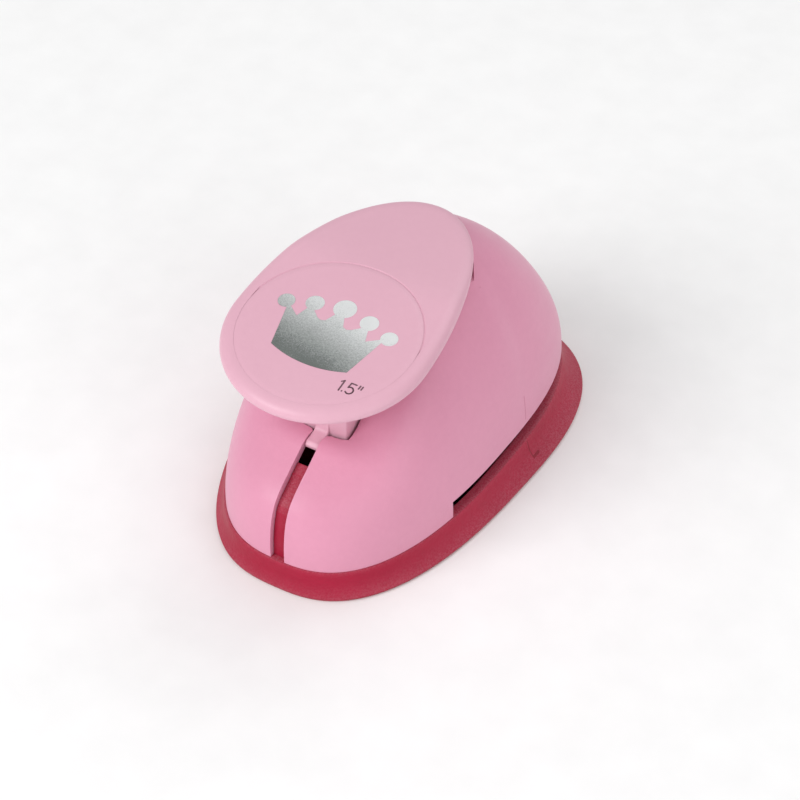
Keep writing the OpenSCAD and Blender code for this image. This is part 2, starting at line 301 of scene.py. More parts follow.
def add_turned(bm: bmesh.types.BMesh, profile: Sequence[Point2], place: Matrix, steps: int = 48) -> None:
    """Adds a turned piece by spinning a profile of radius and height round Z.

    Args:
        bm: Mesh to add to.
        profile: Points of radius and height, from one end to the other.
        place: Turn and shift applied to it at the end.
        steps: Steps in the full turn.
    """
    verts = [bm.verts.new((r, 0.0, z)) for r, z in profile]
    edges = [bm.edges.new(pair) for pair in zip(verts, verts[1:])]
    out = bmesh.ops.spin(bm, geom=verts + edges, cent=(0, 0, 0), axis=(0, 0, 1), angle=2 * math.pi,
                         steps=steps, use_merge=True)
    made = {v for v in out["geom_last"] if isinstance(v, bmesh.types.BMVert)} | set(verts)
    grown = set(made)
    front = list(made)
    while front:
        vert = front.pop()
        for edge in vert.link_edges:
            other = edge.other_vert(vert)
            if other not in grown:
                grown.add(other)
                front.append(other)
    bmesh.ops.remove_doubles(bm, verts=list(grown), dist=1e-4)
    alive = [v for v in grown if v.is_valid]
    faces = list({f for v in alive for f in v.link_faces})
    bmesh.ops.recalc_face_normals(bm, faces=faces)
    bmesh.ops.transform(bm, matrix=place, verts=alive)


def finish_mesh(bm: bmesh.types.BMesh, name: str, smooth_angle: float = 38.0) -> bpy.types.Object:
    """Turns a millimetre mesh into a finished object in metres, at the origin.

    Args:
        bm: Mesh in millimetres. It is freed.
        name: Name of the new object.
        smooth_angle: Edges sharper than this, in degrees, stay sharp.

    Returns:
        The new object, linked to the scene.
    """
    bmesh.ops.scale(bm, vec=(MM, MM, MM), verts=bm.verts)
    mark_sharp(bm, smooth_angle)
    mesh = bpy.data.meshes.new(name)
    bm.to_mesh(mesh)
    bm.free()
    obj = bpy.data.objects.new(name, mesh)
    bpy.context.scene.collection.objects.link(obj)
    return obj


def soften_edges(obj: bpy.types.Object, width: float, segments: int = 2, angle: float = 50.0) -> None:
    """Rounds the object's sharp edges with a bevel modifier, width in millimetres.

    Args:
        obj: Object to round.
        width: Width of the rounding, in millimetres.
        segments: Segments in the rounding.
        angle: Edges sharper than this, in degrees, are rounded.
    """
    mod = obj.modifiers.new("edge_round", "BEVEL")
    mod.width = width * MM
    mod.segments = segments
    mod.limit_method = "ANGLE"
    mod.angle_limit = math.radians(angle)
    mod.use_clamp_overlap = True
    mod.harden_normals = False


def thicken(obj: bpy.types.Object, wall: float) -> None:
    """Gives an open skin a wall, grown inwards, in millimetres.

    Args:
        obj: Open skin to thicken.
        wall: Thickness of the wall, in millimetres.
    """
    mod = obj.modifiers.new("wall", "SOLIDIFY")
    mod.thickness = wall * MM
    mod.offset = -1.0
    mod.use_even_offset = False
    mod.use_quality_normals = True


def mark_sharp(bm: bmesh.types.BMesh, angle: float) -> None:
    """Smooths every face and keeps edges sharper than an angle, in degrees, sharp.

    Args:
        bm: Mesh to mark.
        angle: Edges sharper than this, in degrees, stay sharp.
    """
    for face in bm.faces:
        face.smooth = True
    for edge in bm.edges:
        edge.smooth = not (len(edge.link_faces) == 2 and edge.calc_face_angle(0.0) > math.radians(angle))


def settle(obj: bpy.types.Object, angle: float = 32.0) -> None:
    """Applies every modifier on the object and marks its sharp edges afresh.

    Args:
        obj: Object whose modifiers are applied.
        angle: Edges sharper than this, in degrees, stay sharp.
    """
    graph = bpy.context.evaluated_depsgraph_get()
    mesh = bpy.data.meshes.new_from_object(obj.evaluated_get(graph))
    obj.modifiers.clear()
    old = obj.data
    obj.data = mesh
    mesh.name = old.name
    bpy.data.meshes.remove(old)
    bm = bmesh.new()
    bm.from_mesh(mesh)
    mark_sharp(bm, angle)
    bm.to_mesh(mesh)
    bm.free()


def join_into(target: bpy.types.Object, others: Iterable[bpy.types.Object]) -> None:
    """Merges other objects' meshes into the target's mesh and removes them.

    Args:
        target: Object that takes the meshes.
        others: Objects that are merged and removed.
    """
    bm = bmesh.new()
    bm.from_mesh(target.data)
    for other in others:
        bm.from_mesh(other.data)
        mesh = other.data
        bpy.data.objects.remove(other)
        bpy.data.meshes.remove(mesh)
    bm.to_mesh(target.data)
    bm.free()


def declare(obj: bpy.types.Object, body: Body, nodes: Sequence[str] = ()) -> None:
    """Says what a piece rides on and which CAD nodes it stands for.

    Args:
        obj: Finished piece.
        body: Body it rides on.
        nodes: CAD nodes it stands for.
    """
    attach(obj, body.value)
    if nodes:
        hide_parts(*nodes)
    stands_for = ", ".join(nodes) or "nothing"
    log.info("%s: %d faces on %s, for %s", obj.name, len(obj.data.polygons), body.value, stands_for)


# --------------------------------------------------------------------------
# Finishes
# --------------------------------------------------------------------------


class NodeCanvas:
    """Short calls for building shader node trees."""

    def __init__(self, tree: bpy.types.NodeTree) -> None:
        """Keeps the tree that nodes are added to."""
        self.tree = tree

    def add(self, kind: str, **settings: object) -> bpy.types.Node:
        """Adds a node of a kind and sets its properties.

        Args:
            kind: Node type.
            **settings: Properties to set on it.

        Returns:
            The new node.
        """
        node = self.tree.nodes.new(kind)
        for key, value in settings.items():
            setattr(node, key, value)
        return node

    def link(self, out: bpy.types.NodeSocket, into: bpy.types.NodeSocket) -> None:
        """Joins two sockets."""
        self.tree.links.new(out, into)

    def noise(self, vector: bpy.types.NodeSocket, scale: float, detail: float, rough: float = 0.5) -> bpy.types.Node:
        """Adds a noise texture on a vector.

        Args:
            vector: Coordinates it reads.
            scale: Scale of the noise.
            detail: Octaves of detail.
            rough: Strength of the finer octaves.

        Returns:
            The texture node.
        """
        node = self.add("ShaderNodeTexNoise")
        node.inputs["Scale"].default_value = scale
        node.inputs["Detail"].default_value = detail
        node.inputs["Roughness"].default_value = rough
        self.link(vector, node.inputs["Vector"])
        return node

    def ramp(self, value: bpy.types.NodeSocket, low: float, high: float, out_low: float = 0.0,
             out_high: float = 1.0, clamp: bool = True) -> bpy.types.NodeSocket:
        """Adds a map-range node and returns its result.

        Args:
            value: Value to map.
            low: Value that becomes out_low.
            high: Value that becomes out_high.
            out_low: Result at low.
            out_high: Result at high.
            clamp: Whether the result stays between the two.

        Returns:
            The result.
        """
        node = self.add("ShaderNodeMapRange", clamp=clamp)
        for key, number in (("From Min", low), ("From Max", high), ("To Min", out_low), ("To Max", out_high)):
            node.inputs[key].default_value = number
        self.link(value, node.inputs["Value"])
        return node.outputs["Result"]

    def math(self, operation: str, a: object, b: object = 0.0) -> bpy.types.NodeSocket:
        """Adds a math node on two sockets or numbers and returns its value.

        Args:
            operation: Name of the operation.
            a: First socket or number.
            b: Second socket or number.

        Returns:
            The result.
        """
        node = self.add("ShaderNodeMath", operation=operation)
        for socket, value in zip(node.inputs, (a, b)):
            if isinstance(value, bpy.types.NodeSocket):
                self.link(value, socket)
            else:
                socket.default_value = value
        return node.outputs["Value"]

    def mix(self, factor: bpy.types.NodeSocket, a: object, b: object, blend: str = "MIX") -> bpy.types.NodeSocket:
        """Adds a colour mix of two sockets or colours and returns its result.

        Args:
            factor: Share of b.
            a: Socket or colour at 0.
            b: Socket or colour at 1.
            blend: Blend type.

        Returns:
            The mixed colour.
        """
        node = self.add("ShaderNodeMix", data_type="RGBA", blend_type=blend)
        self.link(factor, node.inputs[0])
        for socket, value in ((node.inputs[6], a), (node.inputs[7], b)):
            if isinstance(value, bpy.types.NodeSocket):
                self.link(value, socket)
            else:
                socket.default_value = (*value, 1.0)
        return node.outputs[2]


def new_group(name: str, inputs: Sequence[Tuple[str, str, object]],
              outputs: Sequence[Tuple[str, str]]) -> bpy.types.NodeTree:
    """Makes an empty shader node group with named sockets.

    Args:
        name: Name of the group.
        inputs: Name, socket type and default of each input.
        outputs: Name and socket type of each output.

    Returns:
        The group, with its input and output nodes in it.
    """
    group = bpy.data.node_groups.new(name, "ShaderNodeTree")
    for label, kind, default in inputs:
        socket = group.interface.new_socket(name=label, in_out="INPUT", socket_type=kind)
        if default is not None:
            socket.default_value = default
    for label, kind in outputs:
        group.interface.new_socket(name=label, in_out="OUTPUT", socket_type=kind)
    group.nodes.new("NodeGroupInput")
    group.nodes.new("NodeGroupOutput")
    return group


def group_ends(group: bpy.types.NodeTree) -> Tuple[bpy.types.Node, bpy.types.Node]:
    """Returns a group's input node and output node."""
    return group.nodes["Group Input"], group.nodes["Group Output"]


class SharedEffects:
    """Node groups that more than one finish uses, each built once."""

    def __init__(self) -> None:
        """Builds the groups."""
        self.spark_grain = self._build_spark_grain()
        self.moulding_tone = self._build_moulding_tone()
        self.handling = self._build_handling()
        self.scribed_bar = self._build_scribed_bar()

    @staticmethod
    def _build_spark_grain() -> bpy.types.NodeTree:
        """Returns the fine spark-eroded grain of a mould, as a height and a mask."""
        group = new_group("spark_grain", [("Vector", "NodeSocketVector", None), ("Scale", "NodeSocketFloat", 1800.0)],
                          [("Height", "NodeSocketFloat"), ("Mask", "NodeSocketFloat")])
        canvas = NodeCanvas(group)
        enter, leave = group_ends(group)
        pits = canvas.add("ShaderNodeTexVoronoi", feature="SMOOTH_F1")
        canvas.link(enter.outputs["Vector"], pits.inputs["Vector"])
        canvas.link(enter.outputs["Scale"], pits.inputs["Scale"])
        pits.inputs["Smoothness"].default_value = 0.6
        swell = canvas.noise(enter.outputs["Vector"], 900.0, 3.0, 0.6)
        canvas.link(canvas.math("MULTIPLY", enter.outputs["Scale"], 0.45), swell.inputs["Scale"])
        both = canvas.math("ADD", canvas.math("MULTIPLY", pits.outputs["Distance"], 0.7), swell.outputs["Fac"])
        canvas.link(both, leave.inputs["Height"])
        canvas.link(canvas.ramp(both, 0.55, 1.1), leave.inputs["Mask"])
        return group

    @staticmethod
    def _build_moulding_tone() -> bpy.types.NodeTree:
        """Returns the slow, faint unevenness of a moulded colour."""
        group = new_group("moulding_tone", [("Vector", "NodeSocketVector", None),
                                            ("Color", "NodeSocketColor", (1, 1, 1, 1)),
                                            ("Shade", "NodeSocketColor", (0.9, 0.9, 0.9, 1))],
                          [("Color", "NodeSocketColor"), ("Drift", "NodeSocketFloat")])
        canvas = NodeCanvas(group)
        enter, leave = group_ends(group)
        slow = canvas.noise(enter.outputs["Vector"], 28.0, 2.0)
        fine = canvas.noise(enter.outputs["Vector"], 620.0, 4.0, 0.65)
        drift = canvas.math("ADD", canvas.math("MULTIPLY", slow.outputs["Fac"], 0.65),
                            canvas.math("MULTIPLY", fine.outputs["Fac"], 0.35))
        factor = canvas.ramp(drift, 0.36, 0.66)
        canvas.link(canvas.mix(factor, enter.outputs["Shade"], enter.outputs["Color"]), leave.inputs["Color"])
        canvas.link(drift, leave.inputs["Drift"])
        return group

    @staticmethod
    def _build_handling() -> bpy.types.NodeTree:
        """Returns the rub marks of handling, as a roughness and a mask."""
        group = new_group("handling_rub", [("Vector", "NodeSocketVector", None), ("Roughness", "NodeSocketFloat", 0.4),
                                           ("Amount", "NodeSocketFloat", 0.08)],
                          [("Roughness", "NodeSocketFloat"), ("Mask", "NodeSocketFloat")])
        canvas = NodeCanvas(group)
        enter, leave = group_ends(group)
        stretch = canvas.add("ShaderNodeMapping")
        stretch.inputs["Scale"].default_value = (1.0, 0.22, 1.0)
        stretch.inputs["Rotation"].default_value = (0.0, 0.0, 0.5)
        canvas.link(enter.outputs["Vector"], stretch.inputs["Vector"])
        rubs = canvas.noise(stretch.outputs["Vector"], 240.0, 6.0, 0.7)
        mask = canvas.ramp(rubs.outputs["Fac"], 0.42, 0.7)
        change = canvas.math("MULTIPLY", canvas.math("SUBTRACT", mask, 0.4), enter.outputs["Amount"])
        canvas.link(canvas.math("ADD", enter.outputs["Roughness"], change), leave.inputs["Roughness"])
        canvas.link(mask, leave.inputs["Mask"])
        return group


    @staticmethod
    def _build_scribed_bar() -> bpy.types.NodeTree:
        """Returns the mask of a straight mark between two values of Y and two of Z."""
        sides = ("Y Low", "Y High", "Z Low", "Z High")
        group = new_group("scribed_bar", [("Vector", "NodeSocketVector", None)] +
                          [(side, "NodeSocketFloat", 0.0) for side in sides] + [("Soft", "NodeSocketFloat", 0.00008)],
                          [("Mask", "NodeSocketFloat")])
        canvas = NodeCanvas(group)
        enter, leave = group_ends(group)
        parts = canvas.add("ShaderNodeSeparateXYZ")
        canvas.link(enter.outputs["Vector"], parts.inputs["Vector"])
        mask: object = 1.0
        for side in sides:
            over = canvas.math("SUBTRACT", parts.outputs[side[0]], enter.outputs[side])
            if side.endswith("High"):
                over = canvas.math("MULTIPLY", over, -1.0)
            step = canvas.add("ShaderNodeMath", operation="DIVIDE", use_clamp=True)
            canvas.link(over, step.inputs[0])
            canvas.link(enter.outputs["Soft"], step.inputs[1])
            mask = canvas.math("MULTIPLY", step.outputs["Value"], mask)
        canvas.link(mask, leave.inputs["Mask"])
        return group


def start_material(name: str) -> Tuple[bpy.types.Material, NodeCanvas, bpy.types.Node, bpy.types.NodeSocket]:
    """Makes a material with a shader, its output and object coordinates.

    Args:
        name: Name of the material.

    Returns:
        The material, a canvas on its tree, its shader, and the coordinates.
    """
    material = bpy.data.materials.new(name)
    material.use_nodes = True
    tree = material.node_tree
    tree.nodes.clear()
    canvas = NodeCanvas(tree)
    shader = canvas.add("ShaderNodeBsdfPrincipled")
    out = canvas.add("ShaderNodeOutputMaterial")
    canvas.link(shader.outputs["BSDF"], out.inputs["Surface"])
    coords = canvas.add("ShaderNodeTexCoord").outputs["Object"]
    return material, canvas, shader, coords


def place_group(canvas: NodeCanvas, group: bpy.types.NodeTree, vector: bpy.types.NodeSocket,
                **values: object) -> bpy.types.Node:
    """Places a shared group on a vector and sets its inputs by name.

    Args:
        canvas: Canvas of the material.
        group: Shared group.
        vector: Coordinates it reads.
        **values: Input values, by input name.

    Returns:
        The group node.
    """
    node = canvas.add("ShaderNodeGroup", node_tree=group)
    canvas.link(vector, node.inputs["Vector"])
    for key, value in values.items():
        node.inputs[key].default_value = value
    return node


@dataclass(frozen=True)
class MouldedPlastic:
    """A moulded plastic finish with a spark-eroded grain, where given a painted sheen on upward faces, and where given
    engraved marks darkened with painted shade.
    """

    name: str
    color: Tuple[float, float, float]
    shade: Tuple[float, float, float]
    roughness: float = 0.42
    grain: float = 1700.0
    grain_depth: float = 0.05
    rub: float = 0.08
    specular: float = 0.4
    sheen: float = 0.0
    # Strength and colour of the painted sheen: a pale tone painted onto upward faces, standing in for light caught by
    # the grain.
    painted_upward_sheen: float = 0.0
    painted_sheen_color: Tuple[float, float, float] = (0.62, 0.36, 0.42)
    marks: Tuple[Tuple[float, float, float, float], ...] = ()

    def build(self, shared: SharedEffects) -> bpy.types.Material:
        """Returns the finished material.

        Args:
            shared: Shared node groups.

        Returns:
            The finished material.
        """
        material, canvas, shader, coords = start_material(self.name)
        tone = place_group(canvas, shared.moulding_tone, coords, Color=(*self.color, 1.0), Shade=(*self.shade, 1.0))
        rub = place_group(canvas, shared.handling, coords, Roughness=self.roughness, Amount=self.rub)
        canvas.link(rub.outputs["Roughness"], shader.inputs["Roughness"])
        grain = place_group(canvas, shared.spark_grain, coords, Scale=self.grain)
        color, height = tone.outputs["Color"], grain.outputs["Height"]
        # Painted sheen: the colour is lightened towards a pale tone on faces that look upwards, in a speckled grain,
        # standing in for light caught by the plastic.
        if self.painted_upward_sheen > 0:
            facing = canvas.add("ShaderNodeSeparateXYZ")
            canvas.link(canvas.add("ShaderNodeNewGeometry").outputs["Normal"], facing.inputs["Vector"])
            upward = canvas.ramp(facing.outputs["Z"], 0.15, 0.85, 0.0, self.painted_upward_sheen)
            sheen_speckle_noise = canvas.noise(coords, 2600.0, 3.0, 0.7)
            speckle = canvas.ramp(sheen_speckle_noise.outputs["Fac"], 0.4, 0.62, 0.3, 1.0)
            color = canvas.mix(canvas.math("MULTIPLY", upward, speckle), color, self.painted_sheen_color)
        for y_low, y_high, z_low, z_high in self.marks:
            limits = {"Y Low": y_low, "Y High": y_high, "Z Low": z_low, "Z High": z_high}
            bar = place_group(canvas, shared.scribed_bar, coords, **limits)
            # Painted shade: the colour is darkened along each engraved mark, standing in for shade in the groove; the
            # bump below sinks the groove itself.
            color = canvas.mix(canvas.math("MULTIPLY", bar.outputs["Mask"], 0.5), color, self.shade, "MULTIPLY")
            height = canvas.math("SUBTRACT", height, canvas.math("MULTIPLY", bar.outputs["Mask"], 8.0))
        canvas.link(color, shader.inputs["Base Color"])
        bump = canvas.add("ShaderNodeBump")
        bump.inputs["Strength"].default_value = self.grain_depth
        bump.inputs["Distance"].default_value = 0.0002
        canvas.link(height, bump.inputs["Height"])
        canvas.link(bump.outputs["Normal"], shader.inputs["Normal"])
        shader.inputs["IOR"].default_value = 1.48
        shader.inputs["Specular IOR Level"].default_value = self.specular
        shader.inputs["Sheen Weight"].default_value = self.sheen
        shader.inputs["Sheen Roughness"].default_value = 0.45
        return material


@dataclass(frozen=True)
class WorkedSteel:
    """A steel finish with directional marks left by its making."""

    name: str
    color: Tuple[float, float, float]
    dark: Tuple[float, float, float]
    roughness: float = 0.3
    marks: Tuple[float, float, float] = (60.0, 2600.0, 60.0)
    depth: float = 0.12

    def build(self, shared: SharedEffects) -> bpy.types.Material:
        """Returns the finished material.

        Args:
            shared: Shared node groups.

        Returns:
            The finished material.
        """
        material, canvas, shader, coords = start_material(self.name)
        stretch = canvas.add("ShaderNodeMapping")
        stretch.inputs["Scale"].default_value = self.marks
        canvas.link(coords, stretch.inputs["Vector"])
        lines = canvas.noise(stretch.outputs["Vector"], 1.0, 5.0, 0.62)
        blotch = canvas.noise(coords, 130.0, 3.0)
        factor = canvas.ramp(canvas.math("ADD", canvas.math("MULTIPLY", lines.outputs["Fac"], 0.6),
                                         canvas.math("MULTIPLY", blotch.outputs["Fac"], 0.4)), 0.34, 0.64)
        canvas.link(canvas.mix(factor, self.dark, self.color), shader.inputs["Base Color"])
        rub = place_group(canvas, shared.handling, coords, Roughness=self.roughness, Amount=0.16)
        canvas.link(rub.outputs["Roughness"], shader.inputs["Roughness"])
        bump = canvas.add("ShaderNodeBump")
        bump.inputs["Strength"].default_value = self.depth
        bump.inputs["Distance"].default_value = 0.0001
        canvas.link(lines.outputs["Fac"], bump.inputs["Height"])
        canvas.link(bump.outputs["Normal"], shader.inputs["Normal"])
        shader.inputs["Metallic"].default_value = 1.0
        return material


@dataclass(frozen=True)
class GlitterFoil:
    """Hot-stamped silver foil with a painted reflection: bright at the back, dark and grainy towards the front."""

    name: str = "stamped_foil"
    bright: Tuple[float, float, float] = (0.88, 0.90, 0.90)
    dark: Tuple[float, float, float] = (0.20, 0.22, 0.21)
    front: float = -0.034
    back: float = -0.019

    def build(self, shared: SharedEffects) -> bpy.types.Material:
        """Returns the finished material.

        Args:
            shared: Shared node groups, none of which the foil needs.

        Returns:
            The finished material.
        """
        material, canvas, shader, coords = start_material(self.name)
        parts = canvas.add("ShaderNodeSeparateXYZ")
        canvas.link(coords, parts.inputs["Vector"])
        # Painted reflection: the colour runs from dark at the front to bright at the back along a slanted line, with
        # broad waves and fine grit in it, standing in for the surroundings mirrored in the foil.
        slant = canvas.math("ADD", parts.outputs["Y"], canvas.math("MULTIPLY", parts.outputs["X"], 0.22))
        painted_reflection_ramp = canvas.ramp(slant, self.front, self.back)
        grit = canvas.noise(coords, 3200.0, 6.0, 0.85)
        waves = canvas.noise(coords, 120.0, 2.0, 0.5)
        speck = canvas.ramp(grit.outputs["Fac"], 0.36, 0.64)
        wide = canvas.ramp(waves.outputs["Fac"], 0.3, 0.7, -0.05, 0.05)
        level = canvas.math("ADD", canvas.math("ADD", painted_reflection_ramp, wide),
                            canvas.math("MULTIPLY", canvas.math("SUBTRACT", speck, 0.5), 0.42))
        amount = canvas.ramp(level, 0.05, 0.95)
        canvas.link(canvas.mix(amount, self.dark, self.bright), shader.inputs["Base Color"])
        canvas.link(canvas.ramp(speck, 0.0, 1.0, 0.30, 0.46), shader.inputs["Roughness"])
        bump = canvas.add("ShaderNodeBump")
        bump.inputs["Strength"].default_value = 0.35
        bump.inputs["Distance"].default_value = 0.0001
        canvas.link(grit.outputs["Fac"], bump.inputs["Height"])
        canvas.link(bump.outputs["Normal"], shader.inputs["Normal"])
        shader.inputs["Metallic"].default_value = 0.85
        return material


@dataclass(frozen=True)
class PrintedInk:
    """Thin printed ink with slightly worn edges."""

    name: str = "printed_ink"
    color: Tuple[float, float, float] = (0.10, 0.045, 0.06)
    worn: Tuple[float, float, float] = (0.20, 0.10, 0.13)

    def build(self, shared: SharedEffects) -> bpy.types.Material:
        """Returns the finished material.

        Args:
            shared: Shared node groups.

        Returns:
            The finished material.
        """
        material, canvas, shader, coords = start_material(self.name)
        wear = canvas.noise(coords, 1900.0, 4.0, 0.7)
        canvas.link(canvas.mix(canvas.ramp(wear.outputs["Fac"], 0.4, 0.72), self.color, self.worn),
                    shader.inputs["Base Color"])
        rub = place_group(canvas, shared.handling, coords, Roughness=0.45, Amount=0.1)
        canvas.link(rub.outputs["Roughness"], shader.inputs["Roughness"])
        return material


class FinishBook:
    """Every finish on the punch, built once and handed out by slot name."""

    def __init__(self) -> None:
        """Builds the materials."""
        shared = SharedEffects()
        cover = MouldedPlastic("housing_pink", (0.72, 0.305, 0.435), (0.68, 0.28, 0.405), roughness=0.44,
                               grain=1500.0, grain_depth=0.10, rub=0.08, specular=0.35, sheen=0.12,
                               marks=((0.0078, 0.0082, 0.0128, 0.0196),))
        lever = MouldedPlastic("lever_pink", (0.72, 0.41, 0.505), (0.69, 0.385, 0.48), roughness=0.36,
                               grain=1900.0, grain_depth=0.035, rub=0.06, specular=0.35)
        # The base gets a painted sheen: a pale tone painted onto its upward faces.
        base = MouldedPlastic("base_raspberry", (0.40, 0.008, 0.042), (0.33, 0.006, 0.032), roughness=0.46,
                              grain=1300.0, grain_depth=0.22, rub=0.1, specular=0.22, sheen=0.05, painted_upward_sheen=0.2,
                              marks=((0.0078, 0.0082, 0.0025, 0.0066), (0.0078, 0.0104, 0.0021, 0.0027)))
        inner = MouldedPlastic("frame_raspberry", (0.33, 0.008, 0.036), (0.27, 0.006, 0.028), roughness=0.45,
                               grain=1500.0, grain_depth=0.08, rub=0.08, specular=0.3)
        head = MouldedPlastic("head_natural", (0.74, 0.71, 0.66), (0.68, 0.65, 0.60), 0.42, 1400.0, 0.06)
        self.by_slot = {
            "cover_plastic": cover.build(shared),
            "lever_plastic": lever.build(shared),
            "base_plastic": base.build(shared),
            "frame_plastic": inner.build(shared),
            "head_plastic": head.build(shared),
            "foil": GlitterFoil().build(shared),
            "ink": PrintedInk().build(shared),
            "plate_steel": WorkedSteel("plate_steel", (0.60, 0.61, 0.63), (0.42, 0.43, 0.45), 0.34).build(shared),
            "cutter_steel": WorkedSteel("cutter_steel", (0.66, 0.67, 0.69), (0.50, 0.51, 0.53), 0.24,
                                        (900.0, 900.0, 40.0)).build(shared),
            "pin_steel": WorkedSteel("pin_steel", (0.64, 0.65, 0.66), (0.52, 0.53, 0.54), 0.2,
                                     (2000.0, 40.0, 40.0), 0.06).build(shared),
            "spring_steel": WorkedSteel("spring_steel", (0.50, 0.51, 0.53), (0.36, 0.37, 0.39), 0.3,
                                        (700.0, 700.0, 1400.0), 0.08).build(shared),
            "screw_steel": WorkedSteel("screw_zinc", (0.55, 0.56, 0.57), (0.40, 0.41, 0.43), 0.33,
                                       (500.0, 500.0, 900.0), 0.1).build(shared),
        }

    def coat(self, obj: bpy.types.Object, slot: str) -> None:
        """Puts a slot's material on every material slot of an object.

        Args:
            obj: Piece to coat.
            slot: Name of its material slot.
        """
        material = self.by_slot[slot]
        if not obj.material_slots:
            obj.data.materials.append(material)
            return
        for holder in obj.material_slots:
            holder.material = material


# --------------------------------------------------------------------------
# The dome's surface
# --------------------------------------------------------------------------


@dataclass(frozen=True)
class DomeForm:
    """The housing's outside surface, over an egg-shaped plan."""

    length: float = 95.6
    width: float = 57.0
    egg: float = 0.12
    corner: float = 2.6
    middle: float = -0.3
    polar_y: float = 8.0
    foot_z: float = 7.0
    deck_z: float = 21.6
    deck_slope: float = 0.6
    dome_z: float = 54.0
    trough_depth: float = 5.5
    segments: int = 192

    def outline(self, inset: float = 0.0) -> List[Point2]:
        """Returns the plan outline, moved inwards by inset.

        Args:
            inset: How far the outline is moved inwards.

        Returns:
            Points of the outline.
        """
        points = []
        for i in range(self.segments):
            t = 2 * math.pi * (i + 0.5) / self.segments
            s = spow(math.sin(t), 2 / self.corner)
            x = (self.width / 2 - inset) * spow(math.cos(t), 2 / self.corner) * (1 + self.egg * s)
            points.append((x, self.middle + (self.length / 2 - inset) * s))
        return points

    def deck(self, y: float) -> float:
        """Returns the height of the deck's ceiling at a place along the length."""
        return self.deck_z + self.deck_slope * (y + 44.4) + 7.2 * math.exp(-(y + 44.4) / 5.2)

    def ceiling(self, x: float, y: float) -> float:
        """Returns the deck and the rear dome blended into one height.

        Args:
            x: Place across.
            y: Place front to back.

        Returns:
            Height of the ceiling.
        """
        dome = self.dome_z - 0.0165 * max(y - self.polar_y, 0.0) ** 2 - 0.01 * x * x * ease((y - 2) / 10)
        deck = self.deck(y)
        low = min(deck, dome)
        return low - math.log(math.exp(low - deck) + math.exp(low - dome))

    def trough(self, x: float, y: float) -> float:
        """Returns how far the deck dips round the lever at a plan place."""
        across = max(1 - (x / 16.0) ** 2, 0.0) ** 2
        return self.trough_depth * ease((y + 33.6) / 8) * (1 - ease((y + 2) / 16)) * across

    def height(self, rim: Point2, u: float) -> Vector:
        """Returns the surface point a fraction u of the way from the pole to the rim.

        Args:
            rim: Point of the outline.
            u: Fraction of the way from the pole to it.

        Returns:
            Point on the surface.
        """
        x = rim[0] * u
        y = self.polar_y + (rim[1] - self.polar_y) * u
        reach = math.hypot(rim[0], rim[1] - self.polar_y)
        shoulder = 2 * abs(rim[0]) * max(rim[1] - self.polar_y, 0.0) / reach ** 2
        square = 2.6 + 5.9 * max((self.polar_y - rim[1]) / reach, 0.0) ** 5 + 0.4 * shoulder
        rise = max(1 - u ** square, 0.0) ** (0.485 - 0.1 * shoulder)
        return Vector((x, y, self.foot_z + (self.ceiling(x, y) - self.foot_z) * rise - self.trough(x, y)))

    def over(self, x: float, y: float) -> float:
        """Returns the surface height over any plan place inside the outline.

        Args:
            x: Place across.
            y: Place front to back.

        Returns:
            Height of the surface there.
        """
        rim = self.rim_towards(x, y)
        reach = math.hypot(rim[0], rim[1] - self.polar_y)
        u = min(math.hypot(x, y - self.polar_y) / reach, 1.0)
        return self.height(rim, u).z

    def rim_towards(self, x: float, y: float) -> Point2:
        """Returns the outline's point in the direction of a plan place, by bisection.

        Args:
            x: Place across.
            y: Place front to back.

        Returns:
            Point of the outline.
        """
        target = math.atan2(y - self.polar_y, abs(x))
        low, high = -math.pi / 2, math.pi / 2
        for _ in range(28):
            mid = (low + high) / 2
            s = spow(math.sin(mid), 2 / self.corner)
            rx = self.width / 2 * abs(math.cos(mid)) ** (2 / self.corner) * (1 + self.egg * s)
            ry = self.middle + self.length / 2 * s
            if math.atan2(ry - self.polar_y, rx) < target:
                low = mid
            else:
                high = mid
        return (math.copysign(rx, x), ry)


# --------------------------------------------------------------------------
# Housing
# --------------------------------------------------------------------------


